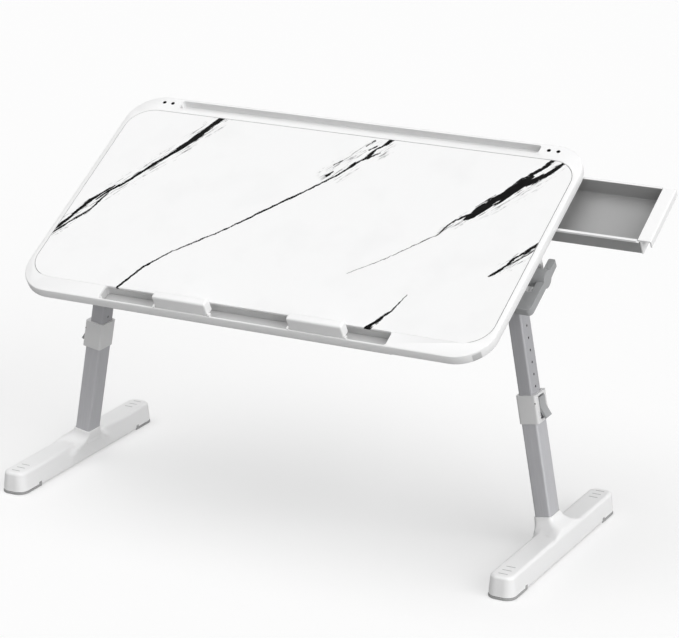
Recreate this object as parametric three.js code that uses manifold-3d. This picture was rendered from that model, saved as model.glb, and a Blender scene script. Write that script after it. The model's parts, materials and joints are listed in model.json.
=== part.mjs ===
// Folding laptop stand with a tilting marble-print top, a side drawer, a tablet slot,
// a front trough with two flip-up stoppers, and two folding telescopic legs.
// Millimetres, +Z up. The object stands as it is used: top tilted, legs drawn out by a few
// steps, stoppers up and drawer pulled out.
import * as THREE from 'three';
import { ConvexGeometry } from 'three/addons/geometries/ConvexGeometry.js';
import { mergeVertices } from 'three/addons/utils/BufferGeometryUtils.js';
import Module from 'manifold-3d';

// Driving dimensions of the top, in its own frame: x across, y towards the back, z up,
// with the origin in the middle of the top face
const topWidth = 700;
const topDepth = 392;
const topThickness = 14.5;
const topCornerRadius = 50;
const topEdgeRounding = 2;
const boardSideMargin = 7.1;
const boardBackMargin = 28.6;
const boardThickness = 3;
const boardCornerRadius = 37.5;
const panelSideMargin = 13.4;
const panelBackMargin = 32;
const panelFrontMargin = 38;
const panelCornerRadius = 12;
const panelThickness = 2;
const panelLedge = 8;
const panelRecess = 1.7;

// Tablet slot, trough and stoppers
const slotSideMargin = 72;
const slotWidth = 15;
const slotDepth = 11;
const slotFromBack = 4.5;
const slotCornerRadius = 4;
const cordHoleRadius = 2.5;
const cordHolePlaces = [13, 26.7];
const troughLength = 428.4;
const troughWidth = 23.2;
const troughLip = 2.2;
const troughCornerRadius = 4;
const troughCoverThickness = 2;
const troughCoverOverlap = 8;
const stopperLength = 80;
const stopperThickness = 14;
const stopperHeight = 19.3;
const stopperHingeRadius = 1.8;
const stopperHingeRise = 0.1;
const stopperBackRounding = 5.5;
const stopperFrontRounding = 3;
const stopperPinRadius = 0.8;
const stopperLugWidth = 3;
const stopperCentres = { left: -85, right: 115.7 };

// Drawer and its housing under the back right of the top
const drawerWidth = 102;
const drawerLip = 2.2;
const drawerLipHeight = 5.3;
const drawerHeight = 25;
const drawerLength = 250;
const drawerWall = 2;
const drawerFromBack = 87.2;
const drawerTopDrop = 16;
const drawerClearance = 0.5;
const drawerCornerRadius = 5;
const drawerOpening = 128;
const housingMouthInset = 7.6;
const drawerHandleDepth = 16.5;
const drawerHandleThickness = 2.2;
const drawerHandleLip = 11;
const drawerHandleFaceHeight = 25;
const housingWall = 2.2;
const housingEarLength = 12;
const housingEarWidth = 16;

// Tilt hinge: its axis runs along x below the middle of the top
const restTilt = THREE.MathUtils.degToRad(29.6);
const tiltAxisDrop = 45;
const tiltAxisForward = 2.9;
const bracketInset = 31;
const bracketDepth = 17;
const archRadius = 27;
const archPocketRadius = 21;
const archPocketDepth = 7.6;
const basePlateThickness = 3;
const basePlateLength = 83;
const basePlateWidth = 76;
const basePlateInset = 3;
const basePlateCornerRadius = 6;
const baseStepHeight = 3.4;
const baseStepLength = 23;
const bracketScrewInset = 6;
const bracketScrewEndInset = 8.5;
const lockDiscRadius = 17.4;
const lockDiscThickness = 5.4;
const lockDiscTeeth = 24;
const lockDiscToothDepth = 1.3;
const tiltPinRadius = 5;
const tiltPinSeat = 2;
const tiltPinCap = 3;
const tiltLeverFront = 61.5;
const tiltLeverBack = 33;
const tiltLeverRise = 5;
const tiltLeverFrontDrop = 8;
const tiltLeverBackDrop = 5.5;
const tiltLeverWidth = 10;
const tiltLeverStandOff = 7.8;
const tiltLeverHubRadius = 12.5;
const tiltLeverRounding = 3;
const tiltPaddleWidth = 27;
const tiltPaddleLength = 31.5;
const tiltPaddleCornerRadius = 8;

// Legs: the fold axis runs along y, and each leg splays outwards
const foldAxisInset = 15;
const splay = THREE.MathUtils.degToRad(10);
const legLength = 376.3;
const headHalfThickness = 9.9;
const headHalfWidth = 15;
const headShoulder = 12;
const headPlugLength = 24;
const yokeCheekThickness = 3.6;
const yokeReach = 12;
const yokeHeight = 15.6;
const yokeBelow = 16;
const yokeCornerRadius = 7;
const yokeHoleRadius = 1.2;
const foldPinRadius = 3;
const foldPinHeadRadius = 5.2;
const foldPinHeadThickness = 1.6;
const tubeWall = 1.2;
const innerTubeThickness = 19.8;
const innerTubeWidth = 28.8;
const innerTubeEnd = 264.4;
const outerTubeThickness = 22.8;
const outerTubeWidth = 31.8;
const tubeCornerRadius = 3;
const stepPitch = 16.5;
const stepHoleRadius = 1.5;
const firstStepHole = 53.4;
const stepHoleCount = 10;

// Collar and its clip lever
const collarTop = 160.4;
const collarHeight = 38.7;
const collarInner = 13;
const collarOuter = 15.6;
const collarHalfWidth = 17.8;
const collarCornerRadius = 3.5;
const collarLip = 3;
const clipWidth = 17;
const clipTop = 5;
const clipTopRoom = 1.9;
const clipBottomWall = 4;
const clipPinDrop = 11;
const clipPinOut = 13.6;
const clipPinRadius = 0.9;
const clipBossRadius = 1.9;
const clipPlateThickness = 3.4;
const clipPlateLength = 14;
const clipKickLength = 14;
const clipKickOut = 6.5;
const clipTipShare = 0.8;

// Foot
const leftFootFront = 174;
const leftFootRear = 174;
const rightFootFront = 190;
const rightFootRear = 157;
const footInner = 11.8;
const footOuter = 27.7;
const footHeight = 31;
const footEdge = 5;
const footDraft = 2.6;
const footEdgeSteps = 3;
const footCornerRadius = 15;
const footClearance = 1.6;
const neckTop = 48;
const neckHalfThickness = 13.2;
const neckHalfWidth = 18;
const neckFlareLength = 34;
const neckFlareHeight = 26;
const neckFoot = 10;
const neckFillet = 2;
const tubeSocketDepth = 20;
const padLength = 48;
const padThickness = 3.2;
const padTabLength = 6;
const padTabHeight = 7;
const cellPitch = 15.2;
const cellRib = 1.8;
const cellDepth = 13;
const cellFieldFromLeg = 46;
const gripLineCount = 3;
const gripLineLength = 12.8;
const gripLineWidth = 1.2;
const gripLineDepth = 0.6;
const gripLinePitch = 12.2;
const gripLineFromEnd = 13.6;

// Shared small sizes
const gap = 0.3;
const screwHeadRadius = 4;
const screwHeadThickness = 1.6;
const headTopShare = 0.8;
const screwShankRadius = 1.8;
const screwSlotWidth = 1;
const crossSlotShare = 0.7;
const screwBite = 5;
const through = 1;
const arcSegments = 6;
const roundSegments = 16;
const smallRoundSegments = 10;
const largeRoundSegments = 24;

// Places worked out from the sizes above
const halfTop = topWidth / 2;
const backEdge = topDepth / 2;
const frontEdge = -backEdge;
const boardHalf = halfTop - boardSideMargin;
const boardBack = backEdge - boardBackMargin;
const troughFront = frontEdge + troughLip;
const troughBack = troughFront + troughWidth;
const panelHalf = halfTop - panelSideMargin;
const panelBack = backEdge - panelBackMargin;
const panelFront = frontEdge + panelFrontMargin;
const panelFace = -topThickness + panelRecess;
const panelTop = panelFace + panelThickness;
const openingHalf = panelHalf - panelLedge;
const openingFront = panelFront + panelLedge;
const openingBack = panelBack - panelLedge;
const slotBack = backEdge - slotFromBack;
const slotHalf = halfTop - slotSideMargin;
const slotMiddle = slotBack - slotWidth / 2;
const stopperAxis = {
  y: troughFront + gap + stopperHingeRadius,
  z: stopperHingeRise,
};
const bracketOuter = halfTop - bracketInset + bracketDepth;
const bracketInner = bracketOuter - bracketDepth;
const bracketTop = panelFace - gap;
const basePlateFace = bracketTop - basePlateThickness;
const tiltAxis = { y: -tiltAxisForward, z: -tiltAxisDrop };
const foldAxisOut = bracketInner - foldAxisInset;
const leverInner = bracketOuter + tiltLeverStandOff;
const leverOuter = leverInner + tiltLeverWidth;
const foldAxisHeight = legLength * Math.cos(splay);
const footOut = foldAxisOut + legLength * Math.sin(splay);
const yokeHalfWidth = headHalfWidth + gap + yokeCheekThickness;
const yokeOuter = bracketInner - gap;
const drawerBackShift = backEdge - drawerFromBack;
const drawerFrontSide = drawerBackShift - drawerWidth / 2;
const drawerBackSide = drawerBackShift + drawerWidth / 2;
const drawerFloor = -drawerTopDrop - drawerHeight;
const housingMouth = panelHalf - housingMouthInset;
const drawerClosedEnd = halfTop - drawerHandleDepth;
const drawerEnd = drawerClosedEnd + drawerOpening;
const drawerStart = drawerEnd - drawerLength;
const housingStart = drawerClosedEnd - drawerLength - drawerClearance - housingWall;
const neckTopFromAxis = legLength - neckTop;
const outerTubeTop = collarTop + collarLip + gap;
const outerTubeEnd = neckTopFromAxis + tubeSocketDepth - gap;

// Solids
const wasm = await Module();
wasm.setup();

function solid(geometry) {
  const bare = geometry.clone();
  bare.deleteAttribute('normal');
  bare.deleteAttribute('uv');
  const merged = mergeVertices(bare, 1e-4);
  return new wasm.Manifold(new wasm.Mesh({
    numProp: 3,
    vertProperties: Float32Array.from(merged.attributes.position.array),
    triVerts: Uint32Array.from(merged.index.array),
  }));
}

function geometryOf(body) {
  const mesh = body.getMesh();
  const geometry = new THREE.BufferGeometry();
  geometry.setAttribute('position', new THREE.BufferAttribute(mesh.vertProperties, 3));
  geometry.setIndex(new THREE.BufferAttribute(mesh.triVerts, 1));
  return geometry;
}

const join = (first, ...others) => others.reduce((body, other) => body.add(other), first);
const cut = (first, ...others) => others.reduce((body, other) => body.subtract(other), first);

// A shape drawn in x and y, or in the two axes after the one that it is extruded along
const extrudeOptions = { bevelEnabled: false, curveSegments: arcSegments };

function extruded(shape, from, to, options = extrudeOptions) {
  const geometry = new THREE.ExtrudeGeometry(shape, { ...options, depth: to - from });
  return geometry.translate(0, 0, from);
}

const axisX = new THREE.Vector3(1, 0, 0);
const axisY = new THREE.Vector3(0, 1, 0);
const axisZ = new THREE.Vector3(0, 0, 1);
const yzToX = new THREE.Matrix4().makeBasis(axisY, axisZ, axisX);
const zxToY = new THREE.Matrix4().makeBasis(axisZ, axisX, axisY);

const alongZ = (shape, from, to) => solid(extruded(shape, from, to));
const alongX = (shape, from, to) => solid(extruded(shape, from, to).applyMatrix4(yzToX));
const alongY = (shape, from, to) => solid(extruded(shape, from, to).applyMatrix4(zxToY));

function roundedRectangle(left, right, bottom, top, radius) {
  const shape = new THREE.Shape();
  shape.absarc(right - radius, top - radius, radius, 0, Math.PI / 2);
  shape.absarc(left + radius, top - radius, radius, Math.PI / 2, Math.PI);
  shape.absarc(left + radius, bottom + radius, radius, Math.PI, 1.5 * Math.PI);
  shape.absarc(right - radius, bottom + radius, radius, 1.5 * Math.PI, 2 * Math.PI);
  shape.closePath();
  return shape;
}

function outline(...points) {
  return new THREE.Shape(points.map(([a, b]) => new THREE.Vector2(a, b)));
}

function disc(a, b, radius, sides = roundSegments) {
  const turns = Array.from({ length: sides }, (_, i) => (2 * Math.PI * (i + 0.5)) / sides);
  return outline(...turns.map((t) => [a + radius * Math.cos(t), b + radius * Math.sin(t)]));
}

function block(left, right, front, back, bottom, top) {
  const geometry = new THREE.BoxGeometry(right - left, back - front, top - bottom);
  return solid(geometry.translate((left + right) / 2, (front + back) / 2, (bottom + top) / 2));
}

// A screw or headed pin along +z, with its head's outer face at zero and its shank above it
function headedPin(headRadius, headThickness, shankRadius, length) {
  const profile = [
    [0, 0],
    [headRadius * headTopShare, 0],
    [headRadius, headThickness / 2],
    [headRadius, headThickness],
    [shankRadius, headThickness],
    [shankRadius, length],
    [0, length],
  ];
  const points = profile.map(([r, z]) => new THREE.Vector2(r, z));
  return new THREE.LatheGeometry(points, smallRoundSegments).rotateX(Math.PI / 2);
}

function flipped(geometry) {
  const index = geometry.index.array;
  for (let i = 0; i < index.length; i += 3) {
    [index[i], index[i + 1]] = [index[i + 1], index[i]];
  }
  return geometry;
}

// Materials
const white = { color: 0xf2f2f1, roughness: 0.38, metalness: 0 };
const finishes = {
  rim: white,
  board: { color: 0xf6f6f6, roughness: 0.3, metalness: 0 },
  core: { color: 0xc9a677, roughness: 0.8, metalness: 0 },
  panel: { color: 0xe4e5e6, roughness: 0.55, metalness: 0 },
  cover: { color: 0xe9e9e8, roughness: 0.5, metalness: 0 },
  bracket: { color: 0xbdbdbb, roughness: 0.5, metalness: 0 },
  yoke: { color: 0xb9b8b6, roughness: 0.5, metalness: 0 },
  lever: { color: 0x8c8c91, roughness: 0.5, metalness: 0 },
  steel: { color: 0xb8bbc0, roughness: 0.3, metalness: 1 },
  innerTube: { color: 0x85868c, roughness: 0.38, metalness: 0.6 },
  outerTube: { color: 0xa9aab0, roughness: 0.35, metalness: 0.6 },
  collar: { color: 0xd0d0ce, roughness: 0.45, metalness: 0 },
  tray: { color: 0x8f8f8f, roughness: 0.55, metalness: 0 },
  pad: { color: 0x8b8b8b, roughness: 0.85, metalness: 0 },
};

function finish(name) {
  return new THREE.MeshStandardMaterial(finishes[name]);
}

const model = new THREE.Group();
const sides = { left: -1, right: 1 };

// Adds one piece; on the left it is the mirror image of the right one
function addPart(parent, name, body, finishName, side = 1) {
  const geometry = geometryOf(body);
  if (side < 0) flipped(geometry.scale(-1, 1, 1));
  const mesh = new THREE.Mesh(geometry, finish(finishName));
  mesh.name = name;
  parent.add(mesh);
  return mesh;
}

// The top turns about the tilt axis, which lies over the legs at the height of the fold axis
const top = new THREE.Group();
top.rotation.x = restTilt;
top.position
  .set(0, tiltAxis.y, tiltAxis.z)
  .applyAxisAngle(axisX, restTilt)
  .negate()
  .add(new THREE.Vector3(0, 0, foldAxisHeight));
model.add(top);

// Rim: a frame with the board's recess, the tablet slot, the trough, the cord holes,
// the panel's recess below and the lugs of the stopper pins
function bevelledPlate(left, right, front, back, radius, bottom, topFace, bevel) {
  const shape = roundedRectangle(
    left + bevel, right - bevel, front + bevel, back - bevel, radius - bevel,
  );
  const options = {
    curveSegments: arcSegments,
    bevelEnabled: true,
    bevelSize: bevel,
    bevelThickness: bevel,
    bevelSegments: 2,
  };
  return solid(extruded(shape, bottom + bevel, topFace - bevel, options));
}

function stopperLug(from, to) {
  const { y, z } = stopperAxis;
  const reach = stopperHingeRadius;
  return block(from, to, troughFront - through, y + reach, z - reach, z + reach);
}

function rim() {
  let body = bevelledPlate(
    -halfTop, halfTop, frontEdge, backEdge, topCornerRadius,
    -topThickness, 0, topEdgeRounding,
  );
  const boardRecess = roundedRectangle(
    -boardHalf, boardHalf, troughBack, boardBack, boardCornerRadius,
  );
  const panelSeat = roundedRectangle(
    -panelHalf, panelHalf, panelFront, panelBack, panelCornerRadius,
  );
  const opening = roundedRectangle(
    -openingHalf, openingHalf, openingFront, openingBack, panelCornerRadius - panelLedge,
  );
  const slot = roundedRectangle(
    -slotHalf, slotHalf, slotBack - slotWidth, slotBack, slotCornerRadius,
  );
  const trough = roundedRectangle(
    -troughLength / 2, troughLength / 2, troughFront, troughBack, troughCornerRadius,
  );
  body = cut(
    body,
    alongZ(boardRecess, -boardThickness - gap, through),
    alongZ(panelSeat, -topThickness - through, panelTop + gap),
    alongZ(opening, -topThickness - through, through),
    alongZ(slot, -slotDepth, through),
    alongZ(trough, -topThickness - through, through),
  );
  for (const side of Object.values(sides)) {
    for (const place of cordHolePlaces) {
      const hole = disc(side * (slotHalf + place), slotMiddle, cordHoleRadius, smallRoundSegments);
      body = cut(body, alongZ(hole, -topThickness - through, through));
    }
  }
  for (const centre of Object.values(stopperCentres)) {
    const start = centre - stopperLength / 2 - gap - stopperLugWidth;
    const end = centre + stopperLength / 2 + gap;
    const pinHole = disc(stopperAxis.y, stopperAxis.z, stopperPinRadius + gap, smallRoundSegments);
    body = join(body, stopperLug(start, start + stopperLugWidth));
    body = join(body, stopperLug(end, end + stopperLugWidth));
    body = cut(body, alongX(pinHole, start - through, end + stopperLugWidth + through));
  }
  return body;
}

function board() {
  const shape = roundedRectangle(
    -boardHalf + gap, boardHalf - gap, troughBack + gap, boardBack - gap,
    boardCornerRadius - gap,
  );
  return alongZ(shape, -boardThickness, 0);
}

const housingScrewInset = housingEarWidth / 2 + housingWall;
const housingScrewPlaces = [
  [housingStart - housingEarLength / 2, drawerFrontSide + housingScrewInset],
  [housingStart - housingEarLength / 2, drawerBackSide - housingScrewInset],
];
const bracketScrewReach = basePlateWidth / 2 - bracketScrewInset;
const bracketScrewPlaces = [
  [bracketOuter - basePlateInset - basePlateLength + bracketScrewEndInset, bracketScrewReach],
  [bracketOuter - basePlateInset - basePlateLength + bracketScrewEndInset, -bracketScrewReach],
  [bracketOuter - basePlateInset - bracketScrewEndInset, bracketScrewReach],
  [bracketOuter - basePlateInset - bracketScrewEndInset, -bracketScrewReach],
].map(([x, y]) => [x, tiltAxis.y + y]);

const screwPlaces = [
  ...bracketScrewPlaces,
  ...bracketScrewPlaces.map(([x, y]) => [-x, y]),
  ...housingScrewPlaces,
];

function drilled(body) {
  const holes = screwPlaces.map(([x, y]) => alongZ(
    disc(x, y, screwShankRadius + gap, smallRoundSegments), -topThickness - through, through,
  ));
  return cut(body, ...holes);
}

function panel() {
  const shape = roundedRectangle(
    -panelHalf + gap, panelHalf - gap, panelFront + gap, panelBack - gap,
    panelCornerRadius - gap,
  );
  return drilled(alongZ(shape, panelFace, panelTop));
}

function core() {
  const shape = roundedRectangle(
    -openingHalf + gap, openingHalf - gap, openingFront + gap, openingBack - gap,
    panelCornerRadius - panelLedge - gap,
  );
  return drilled(alongZ(shape, panelTop + gap, -boardThickness - gap));
}

function troughCover() {
  const half = troughLength / 2 + troughCoverOverlap;
  const shape = roundedRectangle(
    -half, half, frontEdge + topEdgeRounding, troughBack + troughCoverOverlap,
    troughCornerRadius,
  );
  const topFace = -topThickness - gap;
  return alongZ(shape, topFace - troughCoverThickness, topFace);
}

addPart(top, 'top_rim', rim(), 'rim');
addPart(top, 'marble_board', board(), 'board');
addPart(top, 'core_board', core(), 'core');
addPart(top, 'under_panel', panel(), 'panel');
addPart(top, 'trough_cover', troughCover(), 'cover');

// Stoppers: each stands on a pin at its lower front corner and folds back into the trough
function stopperProfile() {
  const { y, z } = stopperAxis;
  const front = y - stopperHingeRadius;
  const back = front + stopperThickness;
  const shape = new THREE.Shape();
  shape.absarc(y, z, stopperHingeRadius, Math.PI, 1.5 * Math.PI);
  shape.lineTo(back, z - stopperHingeRadius);
  shape.absarc(
    back - stopperBackRounding, stopperHeight - stopperBackRounding,
    stopperBackRounding, 0, Math.PI / 2,
  );
  shape.absarc(
    front + stopperFrontRounding, stopperHeight - stopperFrontRounding,
    stopperFrontRounding, Math.PI / 2, Math.PI,
  );
  shape.closePath();
  return shape;
}

function stopperBar(centre) {
  const { y, z } = stopperAxis;
  const from = centre - stopperLength / 2;
  const bar = alongX(stopperProfile(), from, from + stopperLength);
  const bore = disc(y, z, stopperPinRadius + gap, smallRoundSegments);
  return cut(bar, alongX(bore, from - through, from + stopperLength + through));
}

function stopperPin(centre) {
  const { y, z } = stopperAxis;
  const half = stopperLength / 2 + gap + stopperLugWidth;
  const shape = disc(y, z, stopperPinRadius, smallRoundSegments);
  return alongX(shape, centre - half, centre + half);
}

for (const [side, centre] of Object.entries(stopperCentres)) {
  addPart(top, `stopper_bar_${side}`, stopperBar(centre), 'rim');
  addPart(top, `stopper_pin_${side}`, stopperPin(centre), 'steel');
}

// Drawer housing: a box open at its right end, held by two screwed ears at its left end
function housing() {
  const front = drawerFrontSide - drawerClearance;
  const back = drawerBackSide + drawerClearance;
  const floor = drawerFloor - gap;
  const outer = roundedRectangle(
    front - housingWall, back + housingWall, floor - housingWall, bracketTop + through,
    drawerCornerRadius,
  );
  const inner = roundedRectangle(
    front, back, floor, bracketTop + 2 * through, drawerCornerRadius - housingWall,
  );
  let body = cut(
    alongX(outer, housingStart, housingMouth),
    alongX(inner, housingStart + housingWall, housingMouth + through),
    block(
      housingStart - through, housingMouth + through, front - 2 * housingWall,
      back + 2 * housingWall, bracketTop, bracketTop + 2 * through,
    ),
  );
  for (const [x, y] of housingScrewPlaces) {
    const ear = block(
      x - housingEarLength / 2, housingStart + housingWall / 2,
      y - housingEarWidth / 2, y + housingEarWidth / 2,
      bracketTop - housingWall, bracketTop,
    );
    const hole = alongZ(
      disc(x, y, screwShankRadius + gap, smallRoundSegments),
      bracketTop - housingWall - through, bracketTop + through,
    );
    body = cut(join(body, ear), hole);
  }
  return body;
}

function screw(x, y, face, length) {
  const slot = block(
    x - screwHeadRadius, x + screwHeadRadius, y - screwSlotWidth / 2, y + screwSlotWidth / 2,
    face - screwHeadThickness - through, face - screwHeadThickness / 2,
  );
  const body = headedPin(screwHeadRadius, screwHeadThickness, screwShankRadius, length);
  return cut(solid(body.translate(x, y, face - screwHeadThickness)), slot);
}

addPart(top, 'drawer_housing', housing(), 'cover');
housingScrewPlaces.forEach(([x, y], i) => {
  const length = screwHeadThickness + housingWall + panelThickness + screwBite;
  const face = bracketTop - housingWall - gap;
  addPart(top, `housing_screw_${i + 1}`, screw(x, y, face, length), 'steel');
});

// Drawer: an open tray with a capped handle that hangs over its right wall
function drawerTray() {
  const bodyFront = drawerFrontSide + drawerLip;
  const bodyBack = drawerBackSide - drawerLip;
  const outer = roundedRectangle(
    bodyFront, bodyBack, drawerFloor, -drawerTopDrop + through,
    drawerCornerRadius - housingWall,
  );
  const inner = roundedRectangle(
    bodyFront + drawerWall, bodyBack - drawerWall,
    drawerFloor + drawerWall, -drawerTopDrop + 2 * through, drawerWall,
  );
  const lip = roundedRectangle(
    drawerFrontSide, drawerBackSide, -drawerTopDrop - drawerLipHeight,
    -drawerTopDrop + 2 * through, drawerLip / 2,
  );
  const handleRoom = drawerHandleThickness;
  return cut(
    join(alongX(outer, drawerStart, drawerEnd), alongX(lip, drawerStart, drawerEnd)),
    alongX(inner, drawerStart + drawerWall, drawerEnd - drawerWall),
    block(
      drawerStart - through, drawerEnd + through, drawerFrontSide - through,
      drawerBackSide + through, -drawerTopDrop, -drawerTopDrop + 2 * through,
    ),
    block(
      drawerEnd - drawerWall - through, drawerEnd + through, drawerFrontSide - through,
      drawerBackSide + through, -drawerTopDrop - handleRoom, through,
    ),
  );
}

function drawerHandle() {
  const flangeTop = -drawerTopDrop + gap;
  const flangeStart = drawerEnd - drawerWall;
  const faceStart = drawerEnd + gap;
  const lipEnd = drawerEnd + drawerHandleDepth;
  const under = flangeTop - drawerHandleThickness;
  const shape = new THREE.Shape();
  shape.moveTo(under, flangeStart);
  shape.lineTo(under, faceStart);
  shape.lineTo(flangeTop - drawerHandleFaceHeight, faceStart);
  shape.lineTo(flangeTop - drawerHandleFaceHeight, faceStart + drawerHandleThickness);
  shape.lineTo(under, faceStart + drawerHandleThickness);
  shape.lineTo(under, lipEnd - drawerHandleThickness);
  shape.lineTo(flangeTop - drawerHandleLip, lipEnd - drawerHandleThickness);
  shape.lineTo(flangeTop - drawerHandleLip, lipEnd);
  shape.absarc(
    flangeTop - drawerHandleThickness, lipEnd - drawerHandleThickness,
    drawerHandleThickness, Math.PI / 2, 0, true,
  );
  shape.lineTo(flangeTop, flangeStart);
  shape.closePath();
  return alongY(shape, drawerFrontSide + drawerLip, drawerBackSide - drawerLip);
}

addPart(top, 'drawer_tray', drawerTray(), 'tray');
addPart(top, 'drawer_handle', drawerHandle(), 'rim');

// Hinge bracket: a base plate screwed under the top, with an arched housing on it
function bracket() {
  const { y, z } = tiltAxis;
  const plateEnd = bracketOuter - basePlateInset;
  const plateStart = plateEnd - basePlateLength;
  const plate = alongZ(
    roundedRectangle(
      plateStart, plateEnd, y - basePlateWidth / 2, y + basePlateWidth / 2,
      basePlateCornerRadius,
    ),
    basePlateFace, bracketTop,
  );
  const arch = new THREE.Shape();
  arch.moveTo(y - archRadius, bracketTop);
  arch.absarc(y, z, archRadius, Math.PI, 2 * Math.PI);
  arch.lineTo(y + archRadius, bracketTop);
  arch.closePath();
  const step = block(
    bracketInner - baseStepLength, bracketInner + through,
    y - yokeHalfWidth, y + yokeHalfWidth, basePlateFace - baseStepHeight, bracketTop,
  );
  let body = join(plate, alongX(arch, bracketInner, bracketOuter), step);
  body = cut(
    body,
    alongX(
      disc(y, z, archPocketRadius, largeRoundSegments),
      bracketOuter - archPocketDepth, bracketOuter + through,
    ),
    alongX(
      disc(y, z, lockDiscRadius + 2 * gap, largeRoundSegments),
      bracketInner - through, bracketInner + lockDiscThickness + gap,
    ),
    alongX(disc(y, z, tiltPinRadius + gap), bracketInner - through, bracketOuter + through),
  );
  for (const [x, screwY] of bracketScrewPlaces) {
    const hole = disc(x, screwY, screwShankRadius + gap, smallRoundSegments);
    body = cut(body, alongZ(hole, basePlateFace - through, bracketTop + through));
  }
  return body;
}

// Lock disc: a toothed disc seated in the housing's inner face, fast on the tilt pin
function lockDisc() {
  const { y, z } = tiltAxis;
  const points = [];
  for (let i = 0; i < 2 * lockDiscTeeth; i += 1) {
    const turn = (Math.PI * i) / lockDiscTeeth;
    const radius = lockDiscRadius - (i % 2) * lockDiscToothDepth;
    points.push([y + radius * Math.cos(turn), z + radius * Math.sin(turn)]);
  }
  const body = alongX(outline(...points), bracketInner, bracketInner + lockDiscThickness);
  const bore = disc(y, z, tiltPinRadius + gap);
  return cut(
    body,
    alongX(bore, bracketInner - through, bracketInner + lockDiscThickness + through),
  );
}

function tiltPin() {
  const shape = disc(tiltAxis.y, tiltAxis.z, tiltPinRadius);
  return alongX(shape, yokeOuter - tiltPinSeat, leverOuter - tiltPinCap - gap);
}

// Tilt lever: a hub in the housing's outer pocket, an arm beside it and a paddle in front
function tiltLeverProfile() {
  const { y, z } = tiltAxis;
  const front = y - tiltLeverFront;
  const back = y + tiltLeverBack;
  const topSide = z + tiltLeverRise;
  const round = tiltLeverRounding;
  const shape = new THREE.Shape();
  shape.absarc(back - round, topSide - round, round, 0, Math.PI / 2);
  shape.absarc(front + round, topSide - round, round, Math.PI / 2, Math.PI);
  shape.absarc(front + round, z - tiltLeverFrontDrop + round, round, Math.PI, 1.5 * Math.PI);
  shape.lineTo(y, z - tiltLeverFrontDrop);
  shape.lineTo(back - round, z - tiltLeverBackDrop);
  shape.lineTo(back, z - tiltLeverBackDrop + round);
  shape.closePath();
  return shape;
}

function tiltLever() {
  const { y, z } = tiltAxis;
  const hub = disc(y, z, tiltLeverHubRadius, largeRoundSegments);
  const hubStart = bracketOuter - archPocketDepth + gap;
  const paddleOutline = roundedRectangle(
    leverOuter - tiltPaddleWidth, leverOuter, y - tiltLeverFront,
    y - tiltLeverFront + tiltPaddleLength, tiltPaddleCornerRadius,
  );
  const armOutline = roundedRectangle(
    leverInner, leverOuter, y - tiltLeverFront + tiltPaddleCornerRadius,
    y + tiltLeverBack, tiltLeverWidth / 2 - gap,
  );
  const depth = 2 * tiltLeverHubRadius;
  const plan = join(
    alongZ(paddleOutline, z - depth, z + depth),
    alongZ(armOutline, z - depth, z + depth),
  );
  return cut(
    join(
      alongX(tiltLeverProfile(), leverOuter - tiltPaddleWidth, leverOuter).intersect(plan),
      alongX(hub, hubStart, leverOuter),
    ),
    alongX(disc(y, z, tiltPinRadius + gap), hubStart - through, leverOuter - tiltPinCap),
  );
}

// Yoke: two cheeks round the leg's head, a back plate on the lock disc that the standing
// leg rests against, and a bridge over the top
const headFrame = new THREE.Matrix4()
  .makeRotationY(-splay)
  .setPosition(foldAxisOut, 0, foldAxisHeight);

function yoke() {
  const zAxis = foldAxisHeight;
  const inner = foldAxisOut - yokeReach;
  const reach = yokeHeight + yokeBelow;
  const cheek = roundedRectangle(
    zAxis - yokeBelow, zAxis + yokeHeight, inner, yokeOuter + yokeCornerRadius,
    yokeCornerRadius,
  );
  const bodyAll = alongY(cheek, -yokeHalfWidth, yokeHalfWidth);
  const plateOutline = roundedRectangle(
    -yokeHalfWidth, yokeHalfWidth, zAxis - yokeBelow, zAxis + yokeHeight, yokeCornerRadius,
  );
  const trimmed = bodyAll.intersect(alongX(plateOutline, inner - through, yokeOuter));
  const roomHalf = headHalfWidth + gap;
  const legRoom = new THREE.BoxGeometry(2 * reach, 2 * roomHalf, 2 * reach);
  legRoom.translate(headHalfThickness + gap - reach, 0, 0).applyMatrix4(headFrame);
  const underBridge = block(
    inner - reach, yokeOuter + through, -roomHalf, roomHalf,
    zAxis - 2 * reach, zAxis + headHalfThickness + 2 * gap,
  );
  const pinHole = disc(zAxis, foldAxisOut, foldPinRadius + gap);
  const sideHole = disc(
    zAxis + yokeHeight / 2, foldAxisOut - yokeReach / 2, yokeHoleRadius, smallRoundSegments,
  );
  return cut(
    trimmed,
    solid(legRoom).intersect(underBridge),
    alongY(pinHole, -yokeHalfWidth - through, yokeHalfWidth + through),
    alongY(sideHole, -yokeHalfWidth - through, -yokeHalfWidth + 2 * through),
    alongX(
      disc(0, zAxis, tiltPinRadius + gap), yokeOuter - tiltPinSeat - gap, yokeOuter + through,
    ),
  );
}

function foldPin() {
  const length = 2 * yokeHalfWidth + foldPinHeadThickness + gap;
  const pin = headedPin(foldPinHeadRadius, foldPinHeadThickness, foldPinRadius, length);
  const face = -yokeHalfWidth - gap - foldPinHeadThickness;
  pin.rotateX(-Math.PI / 2).translate(foldAxisOut, face, foldAxisHeight);
  const cross = [
    [foldPinHeadRadius * crossSlotShare, screwSlotWidth / 2],
    [screwSlotWidth / 2, foldPinHeadRadius * crossSlotShare],
  ].map(([halfX, halfZ]) => block(
    foldAxisOut - halfX, foldAxisOut + halfX, face - through,
    face + foldPinHeadThickness / 2, foldAxisHeight - halfZ, foldAxisHeight + halfZ,
  ));
  return cut(solid(pin), ...cross);
}

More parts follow.
